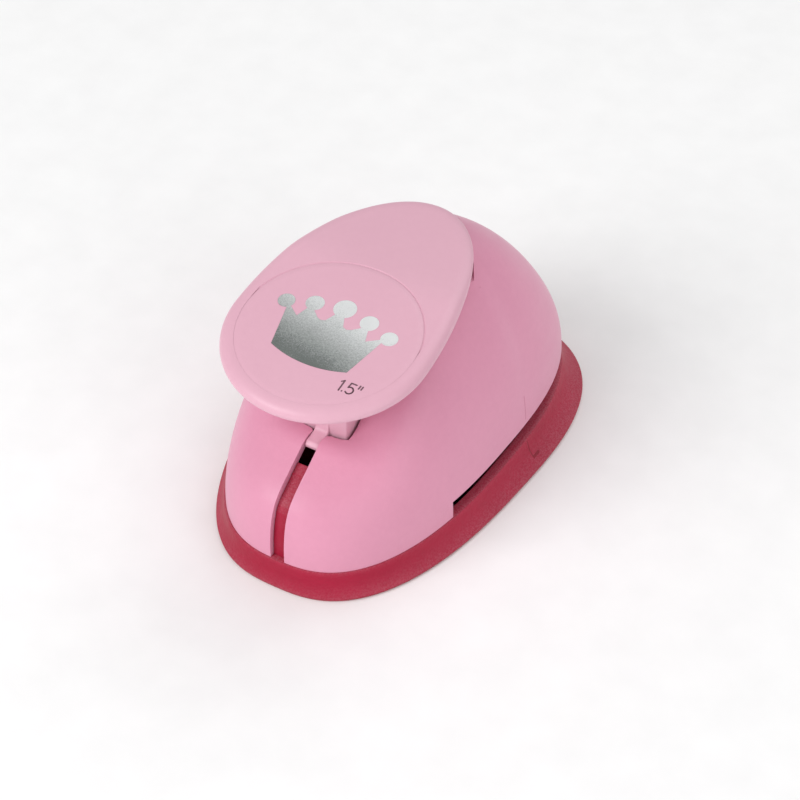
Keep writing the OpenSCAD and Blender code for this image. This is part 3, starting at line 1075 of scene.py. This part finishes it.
@dataclass
class Housing:
    """The domed housing: a thin shell with its slot, notch, pocket and throat."""

    form: DomeForm = field(default_factory=DomeForm)
    wall: float = 2.0
    slot_half: float = 1.65
    notch_half: float = 6.2
    notch_front: float = -29.3
    notch_back: float = 19.5
    throat_y: float = -20.0
    throat_z: float = 11.5
    pocket_z: float = 47.5
    pocket_gap: float = 0.25

    def build(self) -> bpy.types.Object:
        """Returns the finished housing."""
        bm = bmesh.new()
        self._skin(bm)
        self._open_throat(bm)
        self._open_top(bm)
        shell = finish_mesh(bm, "housing_shell", 60.0)
        thicken(shell, self.wall)
        soften_edges(shell, 0.32, 3, 50.0)
        settle(shell)
        join_into(shell, [self._insides()])
        return shell

    def _skin(self, bm: bmesh.types.BMesh) -> None:
        """Builds the uncut outside skin, from the foot up to the pole.

        Args:
            bm: Mesh to add to.
        """
        rim = self.form.outline()
        shares = [0.0, 0.0006, 0.002, 0.0045, 0.009, 0.015, 0.022, 0.030, 0.039, 0.049, 0.060, 0.072, 0.085, 0.10,
                  0.116, 0.133, 0.151, 0.17, 0.19, 0.212, 0.236, 0.262, 0.29]
        shares += [0.29 + 0.0305 * k for k in range(1, 23)]
        rings = [[self.form.height(p, 1 - s) for p in rim] for s in shares]
        loft(bm, rings, end_point=self.form.height(rim[0], 0.0))
        bmesh.ops.recalc_face_normals(bm, faces=bm.faces)

    def _open_throat(self, bm: bmesh.types.BMesh) -> None:
        """Cuts the paper throat out of the lower edge, from one side round the back.

        Args:
            bm: Mesh to cut.
        """
        def low_part(face: bmesh.types.BMFace) -> bool:
            return face.calc_center_median().z < self.throat_z + 1.5

        for point, normal in (((0, 0, self.throat_z), (0, 0, 1)), ((0, self.throat_y, 0), (0, 1, 0))):
            faces = [f for f in bm.faces if low_part(f) and f.calc_center_median().y > self.throat_y - 4]
            geom = list({e for f in faces for e in f.edges} | {v for f in faces for v in f.verts}) + faces
            bmesh.ops.bisect_plane(bm, geom=geom, dist=0.02, plane_co=point, plane_no=normal,
                                   use_snap_center=True)
        drop_inside(bm, lambda c: c.y > self.throat_y and c.z < self.throat_z)

    def opening(self) -> List[Point2]:
        """Returns the plan outline of the front slot and the lever's notch together."""
        s, n, f, b = self.slot_half, self.notch_half, self.notch_front, self.notch_back
        return rounded_outline([(-s, -60), (s, -60), (s, f), (n, f), (n, b), (-n, b), (-n, f), (-s, f)],
                               [0, 0, 1.4, 1.6, 1.6, 1.6, 1.6, 1.4])

    def pocket(self) -> List[Point2]:
        """Returns the plan outline of the pocket for the rear of the paddle."""
        points = []
        for i in range(61):
            t = math.pi * i / 60
            points.append(((PADDLE_RADIUS + self.pocket_gap) * math.cos(t),
                           PADDLE_CENTRE[1] + (PADDLE_BACK + self.pocket_gap) * math.sin(t)))
        return [p for p in points if p[1] > 2.0]

    def _open_top(self, bm: bmesh.types.BMesh) -> None:
        """Sinks the paddle's pocket and cuts the slot and the notch.

        Args:
            bm: Mesh to cut.
        """
        pocket = self.pocket()
        high = lambda c: c.z > self.pocket_z - 1.5
        score(bm, pocket, closed=False, test=high)
        self._resettle(bm)
        level = [f for f in bm.faces if abs(f.calc_center_median().z - self.pocket_z) < 3.0
                 and inside_outline(*f.calc_center_median().xy, pocket + [(-30.0, -5.0), (30.0, -5.0)])]
        geom = list({e for f in level for e in f.edges} | {v for f in level for v in f.verts}) + level
        bmesh.ops.bisect_plane(bm, geom=geom, dist=0.15, plane_co=(0, 0, self.pocket_z), plane_no=(0, 0, 1),
                               use_snap_center=True)
        loop = pocket + [(pocket[-1][0], -5.0), (pocket[0][0], -5.0)]
        sunk = [f for f in bm.faces if f.calc_center_median().z > self.pocket_z
                and inside_outline(*f.calc_center_median().xy, loop)]
        out = bmesh.ops.extrude_face_region(bm, geom=sunk)
        floor = [v for v in out["geom"] if isinstance(v, bmesh.types.BMVert)]
        for vert in floor:
            vert.co.z = min(vert.co.z, self.pocket_z)
        bmesh.ops.delete(bm, geom=[f for f in sunk if f.is_valid], context="FACES")
        opening = self.opening()
        score(bm, opening, test=lambda c: c.y < self.notch_back + 3)
        self._resettle(bm, keep={v for v in floor if v.is_valid})
        drop_inside(bm, lambda c: inside_outline(c.x, c.y, opening))
        bmesh.ops.remove_doubles(bm, verts=bm.verts, dist=0.02)

    def _resettle(self, bm: bmesh.types.BMesh, keep: Iterable[bmesh.types.BMVert] = ()) -> None:
        """Puts the top's vertices back on the surface after they were snapped sideways.

        Args:
            bm: Mesh to correct.
            keep: Vertices that stay where they are.
        """
        kept = set(keep)
        for vert in bm.verts:
            if vert in kept or vert.co.z < 15.0:
                continue
            height = self.form.over(vert.co.x, vert.co.y)
            if abs(height - vert.co.z) < 0.4:
                vert.co.z = height

    def _insides(self) -> bpy.types.Object:
        """Returns the pocket's floor, the pivot cheeks and the screw bosses."""
        bm = bmesh.new()
        for side in (-1, 1):
            add_block(bm, (min(side * 6.4, side * 12.5), 5.5, 45.6), (max(side * 6.4, side * 12.5), 21.5, 47.4), 0.3)
            cheek = rounded_outline([(14, 46.5), (14, 38), (17, 35), (23, 35), (26, 38), (26, 45)],
                                    [0, 2, 2, 2, 2, 0], 4)
            place = Matrix.Translation((side * 7.7, 0, 0)) @ Matrix.Rotation(math.pi / 2, 4, "Y") @ \
                Matrix.Rotation(math.pi / 2, 4, "Z")
            add_prism(bm, cheek, -1.3, 1.3, place, 0.25)
            add_turned(bm, [(1.2, 7.05), (3.4, 7.05), (3.4, 21.4), (1.2, 21.4), (1.2, 7.05)],
                       Matrix.Translation((side * FRONT_BOSS[0], FRONT_BOSS[1], 0)), 32)
            add_turned(bm, [(1.2, 12.0), (3.0, 12.0), (3.0, 34.0), (1.2, 34.0), (1.2, 12.0)],
                       Matrix.Translation((side * REAR_BOSS[0], REAR_BOSS[1], 0)), 32)
        return finish_mesh(bm, "housing_insides")


# --------------------------------------------------------------------------
# Base
# --------------------------------------------------------------------------


@dataclass
class FlaredBase:
    """The flared egg-shaped base with its slab, die seat and front tongue."""

    form: DomeForm = field(default_factory=DomeForm)
    length: float = 100.0
    width: float = 65.0
    height: float = 7.0
    seat_z: float = 5.0
    tongue_half: float = 1.55

    def foot_outline(self, inset: float) -> List[Point2]:
        """Returns the base's plan outline on the table, moved inwards by inset.

        Args:
            inset: How far the outline is moved inwards.

        Returns:
            Points of the outline.
        """
        points = []
        for i in range(self.form.segments):
            t = 2 * math.pi * (i + 0.5) / self.form.segments
            s = spow(math.sin(t), 2 / 2.69)
            x = (self.width / 2 - inset - 0.04) * spow(math.cos(t), 2 / 2.69) * (1 + 0.18 * s)
            points.append((x, (self.length / 2 - inset - 0.04) * s))
        return points

    @staticmethod
    def _at(outline: Sequence[Point2], z: float) -> Ring:
        """Returns an outline lifted to a height."""
        return [Vector((x, y, z)) for x, y in outline]

    @staticmethod
    def _blend(a: Sequence[Point2], b: Sequence[Point2], t: float) -> List[Point2]:
        """Returns the outline a fraction t of the way between two outlines."""
        return [(lerp(p[0], q[0], t), lerp(p[1], q[1], t)) for p, q in zip(a, b)]

    def build(self) -> bpy.types.Object:
        """Returns the finished base."""
        bm = bmesh.new()
        foot = self.foot_outline(0.0)
        top = self.form.outline(-0.45)
        inner = self.form.outline(2.0)
        rings = [self._at(inner, 3.0), self._at(inner, 0.5), self._at(self.form.outline(1.6), 0.05),
                 self._at(self.foot_outline(0.8), 0.0), self._at(self.foot_outline(0.35), 0.1),
                 self._at(self.foot_outline(0.08), 0.4), self._at(foot, 0.9)]
        for share, z in ((0.12, 1.12), (0.28, 1.55), (0.45, 2.1), (0.61, 2.8), (0.75, 3.6), (0.86, 4.6), (0.95, 5.8)):
            rings.append(self._at(self._blend(foot, top, share), z))
        rings += [self._at(self.form.outline(-0.44), 6.5), self._at(self.form.outline(-0.25), 6.85),
                  self._at(self.form.outline(0.1), 6.96), self._at(self.form.outline(0.6), 7.0),
                  self._at(self.form.outline(4.5), 7.0)]
        loft(bm, rings)
        bmesh.ops.recalc_face_normals(bm, faces=bm.faces)
        rim = finish_mesh(bm, "base_rim")
        join_into(rim, [self._slab(), self._tongue()])
        return rim

    def _slab(self) -> bpy.types.Object:
        """Returns the slab with its die seat, exit window and screw bosses."""
        bm = bmesh.new()
        plates = [(-19.58, -23.1), (19.58, -23.1), (23.1, -12.05), (23.1, 22.1), (-23.1, 22.1), (-23.1, -12.05)]
        window = rounded_outline([(-20.5, -11), (20.5, -11), (20.5, 20.5), (-20.5, 20.5)], [3, 3, 3, 3])
        outer = self.form.outline(1.9)
        add_prism(bm, outer, 3.0, 7.0)
        bmesh.ops.recalc_face_normals(bm, faces=bm.faces)
        caps = [f for f in bm.faces if abs(f.normal.z) > 0.9]
        bmesh.ops.triangulate(bm, faces=caps)
        score(bm, window, reach=120.0, snap=0.01)
        score(bm, plates, reach=120.0, snap=0.01, test=lambda c: c.z > 6.0)
        drop_inside(bm, lambda c: inside_outline(c.x, c.y, window))
        seat = [f for f in bm.faces if f.calc_center_median().z > 6.9 and f.normal.z > 0.9
                and inside_outline(*f.calc_center_median().xy, plates)]
        out = bmesh.ops.extrude_face_region(bm, geom=seat)
        bmesh.ops.translate(bm, vec=(0, 0, self.seat_z - self.height),
                            verts=[v for v in out["geom"] if isinstance(v, bmesh.types.BMVert)])
        bmesh.ops.delete(bm, geom=[f for f in seat if f.is_valid], context="FACES")
        low = [e for e in bm.edges if e.is_boundary and all(abs(v.co.z - 3.0) < 1e-3 for v in e.verts)]
        out = bmesh.ops.extrude_edge_only(bm, edges=low)
        for vert in (v for v in out["geom"] if isinstance(v, bmesh.types.BMVert)):
            vert.co.z = self.seat_z
        bmesh.ops.remove_doubles(bm, verts=bm.verts, dist=0.01)
        for side in (-1, 1):
            for x in PLATE_SCREW_X:
                add_turned(bm, [(0.0, 0.6), (3.1, 0.6), (3.4, 0.9), (3.4, 3.2), (0.0, 3.2)],
                           Matrix.Translation((side * x, PLATE_SCREW_Y, 0)), 32)
            add_turned(bm, [(2.9, 0.9), (3.2, 0.6), (4.1, 0.6), (4.4, 0.9), (4.4, 3.2), (2.9, 3.2), (2.9, 0.9)],
                       Matrix.Translation((side * FRONT_BOSS[0], FRONT_BOSS[1], 0)), 32)
        return finish_mesh(bm, "base_slab")

    def _tongue(self) -> bpy.types.Object:
        """Returns the upright tongue that stands in the housing's front slot."""
        side = [(-47.1, 6), (-46.8, 11.4), (-46.2, 15.1), (-45.3, 18.3), (-44.5, 19.6), (-43.5, 20.5),
                (-41.8, 21.5), (-35.8, 25.1), (-36.8, 22.4), (-41, 19.5), (-42.6, 17.5), (-43.3, 14), (-43.4, 6)]
        profile = rounded_outline(side, [0, 3, 3, 0.9, 0.45, 0.5, 3, 0.4, 0.4, 2, 2, 2, 0], 4)
        bm = bmesh.new()
        place = Matrix.Rotation(math.pi / 2, 4, "Y") @ Matrix.Rotation(math.pi / 2, 4, "Z")
        add_prism(bm, profile, -self.tongue_half, self.tongue_half, place, 0.18)
        return finish_mesh(bm, "base_tongue", 30.0)


# --------------------------------------------------------------------------
# Lever
# --------------------------------------------------------------------------


@dataclass
class PalmLever:
    """The lever: paddle, stem, nose and pivot eye, with its size mark."""

    radius: float = PADDLE_RADIUS
    back: float = PADDLE_BACK
    thickness: float = 3.7
    tilt: float = 6.2
    centre: Tuple[float, float, float] = PADDLE_CENTRE
    ring_radius: float = 19.0
    stem_half: float = 5.6
    segments: int = 180

    def place(self) -> Matrix:
        """Returns the turn and shift from the paddle's own plane to the frame."""
        return Matrix.Translation(self.centre) @ Matrix.Rotation(math.radians(self.tilt), 4, "X")

    def _fall(self, y: float, z: float) -> float:
        """Returns how far the paddle falls away from its own plane behind the ring."""
        fall = 0.09 * (y - 18.5 + math.sqrt((y - 18.5) ** 2 + 2))
        return fall + z / self.thickness * min(fall, 2.2)

    def _outline_ring(self, inset: float, z: float, share: float = 1.0) -> Ring:
        """Returns a ring of the paddle's outline, inset, lifted, and sunk towards the rear.

        Args:
            inset: How far the ring is moved inwards.
            z: Height over the paddle's own plane.
            share: Place between the engraved ring, 0, and the outline, 1.

        Returns:
            Points of the ring.
        """
        ring = []
        for i in range(self.segments):
            t = 2 * math.pi * i / self.segments
            back = self.back if math.sin(t) > 0 else self.radius
            x = (self.radius - inset) * math.cos(t)
            y = (back - inset) * math.sin(t)
            if share < 1.0:
                r = self.ring_radius + 0.35
                x = lerp(r * math.cos(t), x, share)
                y = lerp(r * math.sin(t), y, share)
            ring.append(Vector((x, y, z - self._fall(y, z))))
        return ring

    def _circle(self, radius: float, z: float) -> Ring:
        """Returns a circle round the ring's centre.

        Args:
            radius: Radius of the circle.
            z: Height over the paddle's own plane.

        Returns:
            Points of the circle.
        """
        ring = []
        for i in range(self.segments):
            t = 2 * math.pi * i / self.segments
            y = radius * math.sin(t)
            ring.append(Vector((radius * math.cos(t), y, z - self._fall(y, z))))
        return ring

    def build(self) -> bpy.types.Object:
        """Returns the finished lever."""
        paddle = self._paddle()
        join_into(paddle, [self._stem()])
        return paddle

    def _paddle(self) -> bpy.types.Object:
        """Returns the paddle with its round rim and engraved ring."""
        bm = bmesh.new()
        skin = -0.04
        half = self.thickness / 2
        rings = [self._circle(r, -self.thickness) for r in (6.0, 13.0, 18.0)]
        rings += [self._outline_ring(3.6, -self.thickness, s) for s in (0.0, 0.25, 0.5, 0.75)]
        for k in range(0, 15):
            a = -math.pi / 2 + math.pi * k / 14
            reach = 3.3 if a < 0 else 2.7
            rings.append(self._outline_ring(reach * (1 - math.cos(a) ** 0.9), -half + half * math.sin(a) + skin / 2))
        rings += [self._outline_ring(3.0, skin, s) for s in (0.97, 0.85, 0.7, 0.5, 0.3, 0.12, 0.0)]
        groove = [(0.26, 0.0), (0.20, -0.03), (0.13, -0.13), (0.0, -0.19), (-0.13, -0.13), (-0.20, -0.03), (-0.26, 0.0)]
        rings += [self._circle(self.ring_radius + r, skin + z) for r, z in groove]
        rings += [self._circle(r, skin) for r in (17.5, 12.0, 6.0)]
        loft(bm, rings, start_cap=True, end_point=Vector((0, 0, skin)))
        bmesh.ops.recalc_face_normals(bm, faces=bm.faces)
        bmesh.ops.transform(bm, matrix=self.place(), verts=bm.verts)
        return finish_mesh(bm, "palm_lever", 40.0)

    def _stem(self) -> bpy.types.Object:
        """Returns the stem with its front rib, nose and pivot eye."""
        turn = Matrix.Rotation(math.pi / 2, 4, "Y") @ Matrix.Rotation(math.pi / 2, 4, "Z")
        bm = bmesh.new()
        side = [(-28.8, 50.0), (-28.8, 25.2), (-27.8, 24), (-19.5, 24), (-10.5, 28.3), (-2.8, 29.6), (3, 27.2), (8, 31),
                (17.5, 35.7), (24.2, 37.4), (24, 43), (17, 44.2), (16, 51), (12, 51.6), (0, 52)]
        outline = rounded_outline(side, [0, 1, 0.4, 2, 3, 1, 3, 3, 4, 2, 2, 2, 1, 1, 0], 4)
        add_prism(bm, outline, -self.stem_half, self.stem_half, turn, 1.3, 4)
        rib = rounded_outline([(-26, 31), (-28.9, 30.5), (-29.3, 28.2), (-32.8, 27.95), (-33.6, 27.3), (-33.4, 26.5),
                               (-30, 24.2), (-26, 24)], [0, 0.3, 1.1, 0.5, 0.5, 0.3, 1.0, 0], 5)
        add_prism(bm, rib, -1.55, 1.55, turn, 0.22, 3)
        add_turned(bm, [(2.05, -6.1), (4.7, -6.1), (5.0, -5.8), (5.0, 5.8), (4.7, 6.1), (2.05, 6.1), (2.05, -6.1)],
                   Matrix.Translation((0, *PIVOT)) @ Matrix.Rotation(math.pi / 2, 4, "Y"), 48)
        add_turned(bm, [(0.0, -5.2), (3.7, -5.2), (4.0, -4.9), (4.0, 4.9), (3.7, 5.2), (0.0, 5.2)],
                   Matrix.Translation((0, 1, 30.5)) @ Matrix.Rotation(math.pi / 2, 4, "Y"), 48)
        return finish_mesh(bm, "lever_stem", 40.0)

    def size_mark(self) -> bpy.types.Object:
        """Returns the printed size mark: thin strokes for a one, a dot, a five and an inch sign."""
        strokes: List[List[Point2]] = [
            [(8.86, -10.05), (9.36, -9.6), (9.36, -12.25)],
            [(10.03, -12.2), (10.03, -12.12)],
            [(12.0, -9.62), (10.86, -9.62), (10.74, -10.82)],
            [(12.78, -9.5), (12.72, -10.3)],
            [(13.34, -9.5), (13.28, -10.3)],
        ]
        bowl = [(10.74, -10.82)]
        for k in range(0, 13):
            a = math.radians(118 - 21.5 * k)
            bowl.append((11.32 + 0.78 * math.cos(a), -11.42 + 0.84 * math.sin(a)))
        strokes.append(bowl)
        bm = bmesh.new()
        for stroke in strokes:
            self._pen(bm, stroke, 0.15)
        bmesh.ops.transform(bm, matrix=self.place(), verts=bm.verts)
        return finish_mesh(bm, "size_mark", 50.0)

    @staticmethod
    def _pen(bm: bmesh.types.BMesh, stroke: Sequence[Point2], half: float) -> None:
        """Draws one stroke as overlapping short bars with round ends.

        Args:
            bm: Mesh to add to.
            stroke: Points of the stroke.
            half: Half of its width.
        """
        for (ax, ay), (bx, by) in zip(stroke, stroke[1:]):
            along = Vector((bx - ax, by - ay, 0.0))
            turn = math.atan2(along.y, along.x)
            reach = along.length
            outline = []
            for k in range(7):
                a = math.pi / 2 + math.pi * k / 6
                outline.append((half * math.cos(a), half * math.sin(a)))
            for k in range(7):
                a = -math.pi / 2 + math.pi * k / 6
                outline.append((reach + half * math.cos(a), half * math.sin(a)))
            place = Matrix.Translation((ax, ay, 0.0)) @ Matrix.Rotation(turn, 4, "Z")
            add_prism(bm, outline, -0.08, 0.0, place)


# --------------------------------------------------------------------------
# Springs, screws and the pieces that keep their CAD shape
# --------------------------------------------------------------------------


@dataclass
class ReturnSprings:
    """The two compression springs on the guide posts."""

    post_x: float = 20.0
    post_y: float = -2.0
    low: float = 12.5
    high: float = 20.0
    coil: float = 2.5
    wire: float = 0.34
    turns: float = 4.0
    stroke: float = 4.17

    def build(self, side: int) -> bpy.types.Object:
        """Returns the spring on one side.

        Args:
            side: -1 for the left spring, 1 for the right.

        Returns:
            The finished spring.
        """
        bm = bmesh.new()
        ring = bmesh.ops.create_circle(bm, cap_ends=True, radius=self.wire, segments=10)["verts"]
        stand = Matrix.Translation((self.coil, 0, self.low + self.wire)) @ Matrix.Rotation(math.pi / 2, 4, "X")
        bmesh.ops.transform(bm, matrix=stand, verts=ring)
        rise = self.high - self.low - 2 * self.wire
        steps = int(self.turns * 28)
        bmesh.ops.spin(bm, geom=list(bm.faces), cent=(0, 0, 0), axis=(0, 0, 1), dvec=(0, 0, rise / steps),
                       angle=2 * math.pi * self.turns, steps=steps, use_merge=False)
        bmesh.ops.remove_doubles(bm, verts=bm.verts, dist=1e-4)
        bmesh.ops.recalc_face_normals(bm, faces=bm.faces)
        bmesh.ops.translate(bm, verts=bm.verts, vec=(side * self.post_x, self.post_y, 0))
        return finish_mesh(bm, "return_spring_" + ("right" if side > 0 else "left"), 60.0)


@dataclass(frozen=True)
class ScrewKind:
    """Sizes of one kind of screw."""

    radius: float
    length: float
    head_radius: float
    head_height: float


@dataclass
class Screws:
    """Cross-recessed screws, threaded with shallow ridges."""

    kind: ScrewKind
    spots: List[Tuple[float, float, float]] = field(default_factory=list)
    head_down: bool = False

    def build(self, name: str) -> bpy.types.Object:
        """Returns all the screws of this kind as one piece.

        Args:
            name: Name of the piece.

        Returns:
            The screws, each with its shaft's free end at its spot.
        """
        bm = bmesh.new()
        for spot in self.spots:
            one = bmesh.new()
            self._screw(one)
            if self.head_down:
                bmesh.ops.rotate(one, verts=one.verts, cent=(0, 0, 0), matrix=Matrix.Rotation(math.pi, 3, "X"))
            bmesh.ops.translate(one, verts=one.verts, vec=spot)
            mesh = bpy.data.meshes.new("screw_part")
            one.to_mesh(mesh)
            one.free()
            bm.from_mesh(mesh)
            bpy.data.meshes.remove(mesh)
        return finish_mesh(bm, name, 40.0)

    def _screw(self, bm: bmesh.types.BMesh) -> None:
        """Builds one screw, point down, with a cross recess in its head.

        Args:
            bm: Mesh to add to.
        """
        k = self.kind
        profile: List[Point2] = [(0.0, 0.0), (k.radius * 0.6, 0.05)]
        ridge = 0.45
        count = int((k.length - 1.2) / (2 * ridge))
        for i in range(count):
            z = 0.5 + i * 2 * ridge
            profile += [(k.radius * 0.86, z), (k.radius, z + ridge)]
        profile += [(k.radius * 0.9, k.length - 0.4), (k.radius * 0.9, k.length)]
        profile += [(k.head_radius - 0.2, k.length), (k.head_radius, k.length + 0.2),
                    (k.head_radius, k.length + k.head_height * 0.45),
                    (k.head_radius * 0.86, k.length + k.head_height * 0.82),
                    (k.head_radius * 0.62, k.length + k.head_height)]
        top = profile[-1]
        add_turned(bm, profile, Matrix.Identity(4), 40)
        rim = [e for e in bm.edges if e.is_boundary and abs(e.verts[0].co.z - top[1]) < 1e-3]
        face = bmesh.ops.contextual_create(bm, geom=rim)["faces"]
        bmesh.ops.triangulate(bm, faces=face)
        arm, half, z = k.head_radius * 0.55, k.head_radius * 0.13, top[1]
        cross = [(half, -arm), (half, -half), (arm, -half), (arm, half), (half, half), (half, arm), (-half, arm),
                 (-half, half), (-arm, half), (-arm, -half), (-half, -half), (-half, -arm)]
        score(bm, cross, reach=0.4, snap=0.005, test=lambda c: abs(c.z - z) < 1e-3)
        sunk = [f for f in bm.faces if abs(f.calc_center_median().z - z) < 1e-3
                and inside_outline(*f.calc_center_median().xy, cross)]
        out = bmesh.ops.extrude_face_region(bm, geom=sunk)
        floor = [v for v in out["geom"] if isinstance(v, bmesh.types.BMVert)]
        bmesh.ops.translate(bm, verts=floor, vec=(0, 0, -k.head_height * 0.6))
        bmesh.ops.delete(bm, geom=[f for f in sunk if f.is_valid], context="FACES")
        bmesh.ops.recalc_face_normals(bm, faces=bm.faces)


KEPT_NODES = {
    "foil_crown": "foil",
    "lever_pin": "pin_steel",
    "pin_clips": "spring_steel",
    "die_plate": "plate_steel",
    "spacer_shim": "plate_steel",
    "guide_plate": "plate_steel",
    "guide_frame": "frame_plastic",
    "guide_posts": "pin_steel",
    "spring_seats": "spring_steel",
    "punch_cutter": "cutter_steel",
    "punch_head": "head_plastic",
    "press_plate": "plate_steel",
}


# --------------------------------------------------------------------------
# Studio
# --------------------------------------------------------------------------


@dataclass(frozen=True)
class Softbox:
    """One soft light, aimed at the punch."""

    name: str
    place: Tuple[float, float, float]
    size: float
    power: float
    color: Tuple[float, float, float] = (1.0, 1.0, 1.0)


@dataclass
class Studio:
    """The camera, the pale floor and the soft lights."""

    azimuth: float = 29.29
    elevation: float = 43.04
    distance: float = 0.420
    sensor: float = 36.0
    lens: float = 88.308
    shift: Tuple[float, float] = (0.010325, -0.0675)
    target: Tuple[float, float, float] = (0.0, 0.0, 0.028)
    boxes: List[Softbox] = field(default_factory=lambda: [
        Softbox("key_left", (-0.42, -0.75, 0.62), 0.7, 6.6),
        Softbox("fill_right", (0.8, -0.35, 0.45), 0.9, 2.6),
        Softbox("top_back", (0.1, 0.7, 0.8), 0.9, 2.8),
    ])

    def build(self) -> None:
        """Makes the camera, floor, lights and surroundings."""
        self._camera()
        self._floor()
        for box in self.boxes:
            self._light(box)
        self._world()
        view = bpy.context.scene.view_settings
        view.view_transform = "Standard"
        view.look = "None"

    def _camera(self) -> None:
        """Makes the camera at the viewing angle."""
        a, e = math.radians(self.azimuth), math.radians(self.elevation)
        back = Vector((math.sin(a) * math.cos(e), -math.cos(a) * math.cos(e), math.sin(e)))
        data = bpy.data.cameras.new("view_camera")
        data.sensor_fit = "HORIZONTAL"
        data.sensor_width = self.sensor
        data.lens = self.lens
        data.shift_x, data.shift_y = self.shift
        data.clip_start, data.clip_end = 0.02, 20.0
        camera = bpy.data.objects.new("view_camera", data)
        camera.location = Vector(self.target) + back * self.distance
        camera.rotation_mode = "QUATERNION"
        camera.rotation_quaternion = (-back).to_track_quat("-Z", "Y")
        bpy.context.scene.collection.objects.link(camera)
        bpy.context.scene.camera = camera

    @staticmethod
    def _floor() -> None:
        """Makes the plain pale floor."""
        bm = bmesh.new()
        bmesh.ops.create_grid(bm, x_segments=1, y_segments=1, size=4.0)
        mesh = bpy.data.meshes.new("studio_floor")
        bm.to_mesh(mesh)
        bm.free()
        floor = bpy.data.objects.new("studio_floor", mesh)
        bpy.context.scene.collection.objects.link(floor)
        material, canvas, shader, coords = start_material("floor_paper")
        fibre = canvas.noise(coords, 90.0, 4.0)
        weave = canvas.ramp(fibre.outputs["Fac"], 0.3, 0.7)
        canvas.link(canvas.mix(weave, (0.90, 0.90, 0.90), (0.93, 0.93, 0.93)), shader.inputs["Base Color"])
        shader.inputs["Roughness"].default_value = 0.85
        mesh.materials.append(material)

    def _light(self, box: Softbox) -> None:
        """Makes one soft light, aimed at the punch.

        Args:
            box: The light to make.
        """
        data = bpy.data.lights.new(box.name, "AREA")
        data.shape = "DISK"
        data.size = box.size
        data.energy = box.power
        data.color = box.color
        lamp = bpy.data.objects.new(box.name, data)
        lamp.location = box.place
        aim = Vector(self.target) - Vector(box.place)
        lamp.rotation_mode = "QUATERNION"
        lamp.rotation_quaternion = aim.to_track_quat("-Z", "Y")
        bpy.context.scene.collection.objects.link(lamp)

    @staticmethod
    def _world() -> None:
        """Makes the even white surroundings."""
        world = bpy.data.worlds.new("studio_air")
        world.use_nodes = True
        sky = world.node_tree.nodes["Background"]
        sky.inputs["Color"].default_value = (1.0, 1.0, 1.0, 1.0)
        sky.inputs["Strength"].default_value = 0.5
        bpy.context.scene.world = world


# --------------------------------------------------------------------------
# Putting it together
# --------------------------------------------------------------------------


def main() -> None:
    """Builds the studio and every piece of the punch."""
    logging.basicConfig(level=logging.INFO, format="%(name)s: %(message)s")
    Studio().build()
    book = FinishBook()

    base = FlaredBase().build()
    book.coat(base, "base_plastic")
    declare(base, Body.HOUSING, ["base"])

    housing = Housing().build()
    book.coat(housing, "cover_plastic")
    declare(housing, Body.HOUSING, ["cover"])

    palm = PalmLever()
    lever = palm.build()
    book.coat(lever, "lever_plastic")
    declare(lever, Body.LEVER, ["lever"])
    mark = palm.size_mark()
    book.coat(mark, "ink")
    declare(mark, Body.LEVER)

    springs = ReturnSprings()
    for side, node in ((-1, "spring_left"), (1, "spring_right")):
        spring = springs.build(side)
        book.coat(spring, "spring_steel")
        declare(spring, Body.HOUSING, [node])
        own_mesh(spring)

    plate_kind, head_kind = ScrewKind(1.4, 9.4, 2.4, 1.4), ScrewKind(1.2, 7.2, 2.3, 1.4)
    cover_kind = ScrewKind(1.2, 11.6, 2.4, 1.5)
    sides = (-1, 1)
    plate_spots = [(s * x, PLATE_SCREW_Y, 2.6) for s in sides for x in PLATE_SCREW_X]
    head_spots = [(s * HEAD_SCREW_X, 0.0, 15.0) for s in sides]
    cover_spots = [(s * x, y, z) for (x, y), z in ((FRONT_BOSS, 14.2), (REAR_BOSS, 21.3)) for s in sides]
    rows = [
        ("plate_fixings", Screws(plate_kind, plate_spots), Body.HOUSING, "plate_screws"),
        ("head_fixings", Screws(head_kind, head_spots), Body.PUNCH, "head_screws"),
        ("housing_fixings", Screws(cover_kind, cover_spots, head_down=True), Body.HOUSING, "cover_screws"),
    ]
    for name, screws, body, node in rows:
        piece = screws.build(name)
        book.coat(piece, "screw_steel")
        declare(piece, body, [node])

    for node, slot in KEPT_NODES.items():
        book.coat(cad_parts[node], slot)
        log.info("%s keeps its CAD shape, finish %s", node, slot)


if __name__ == "__main__":
    main()
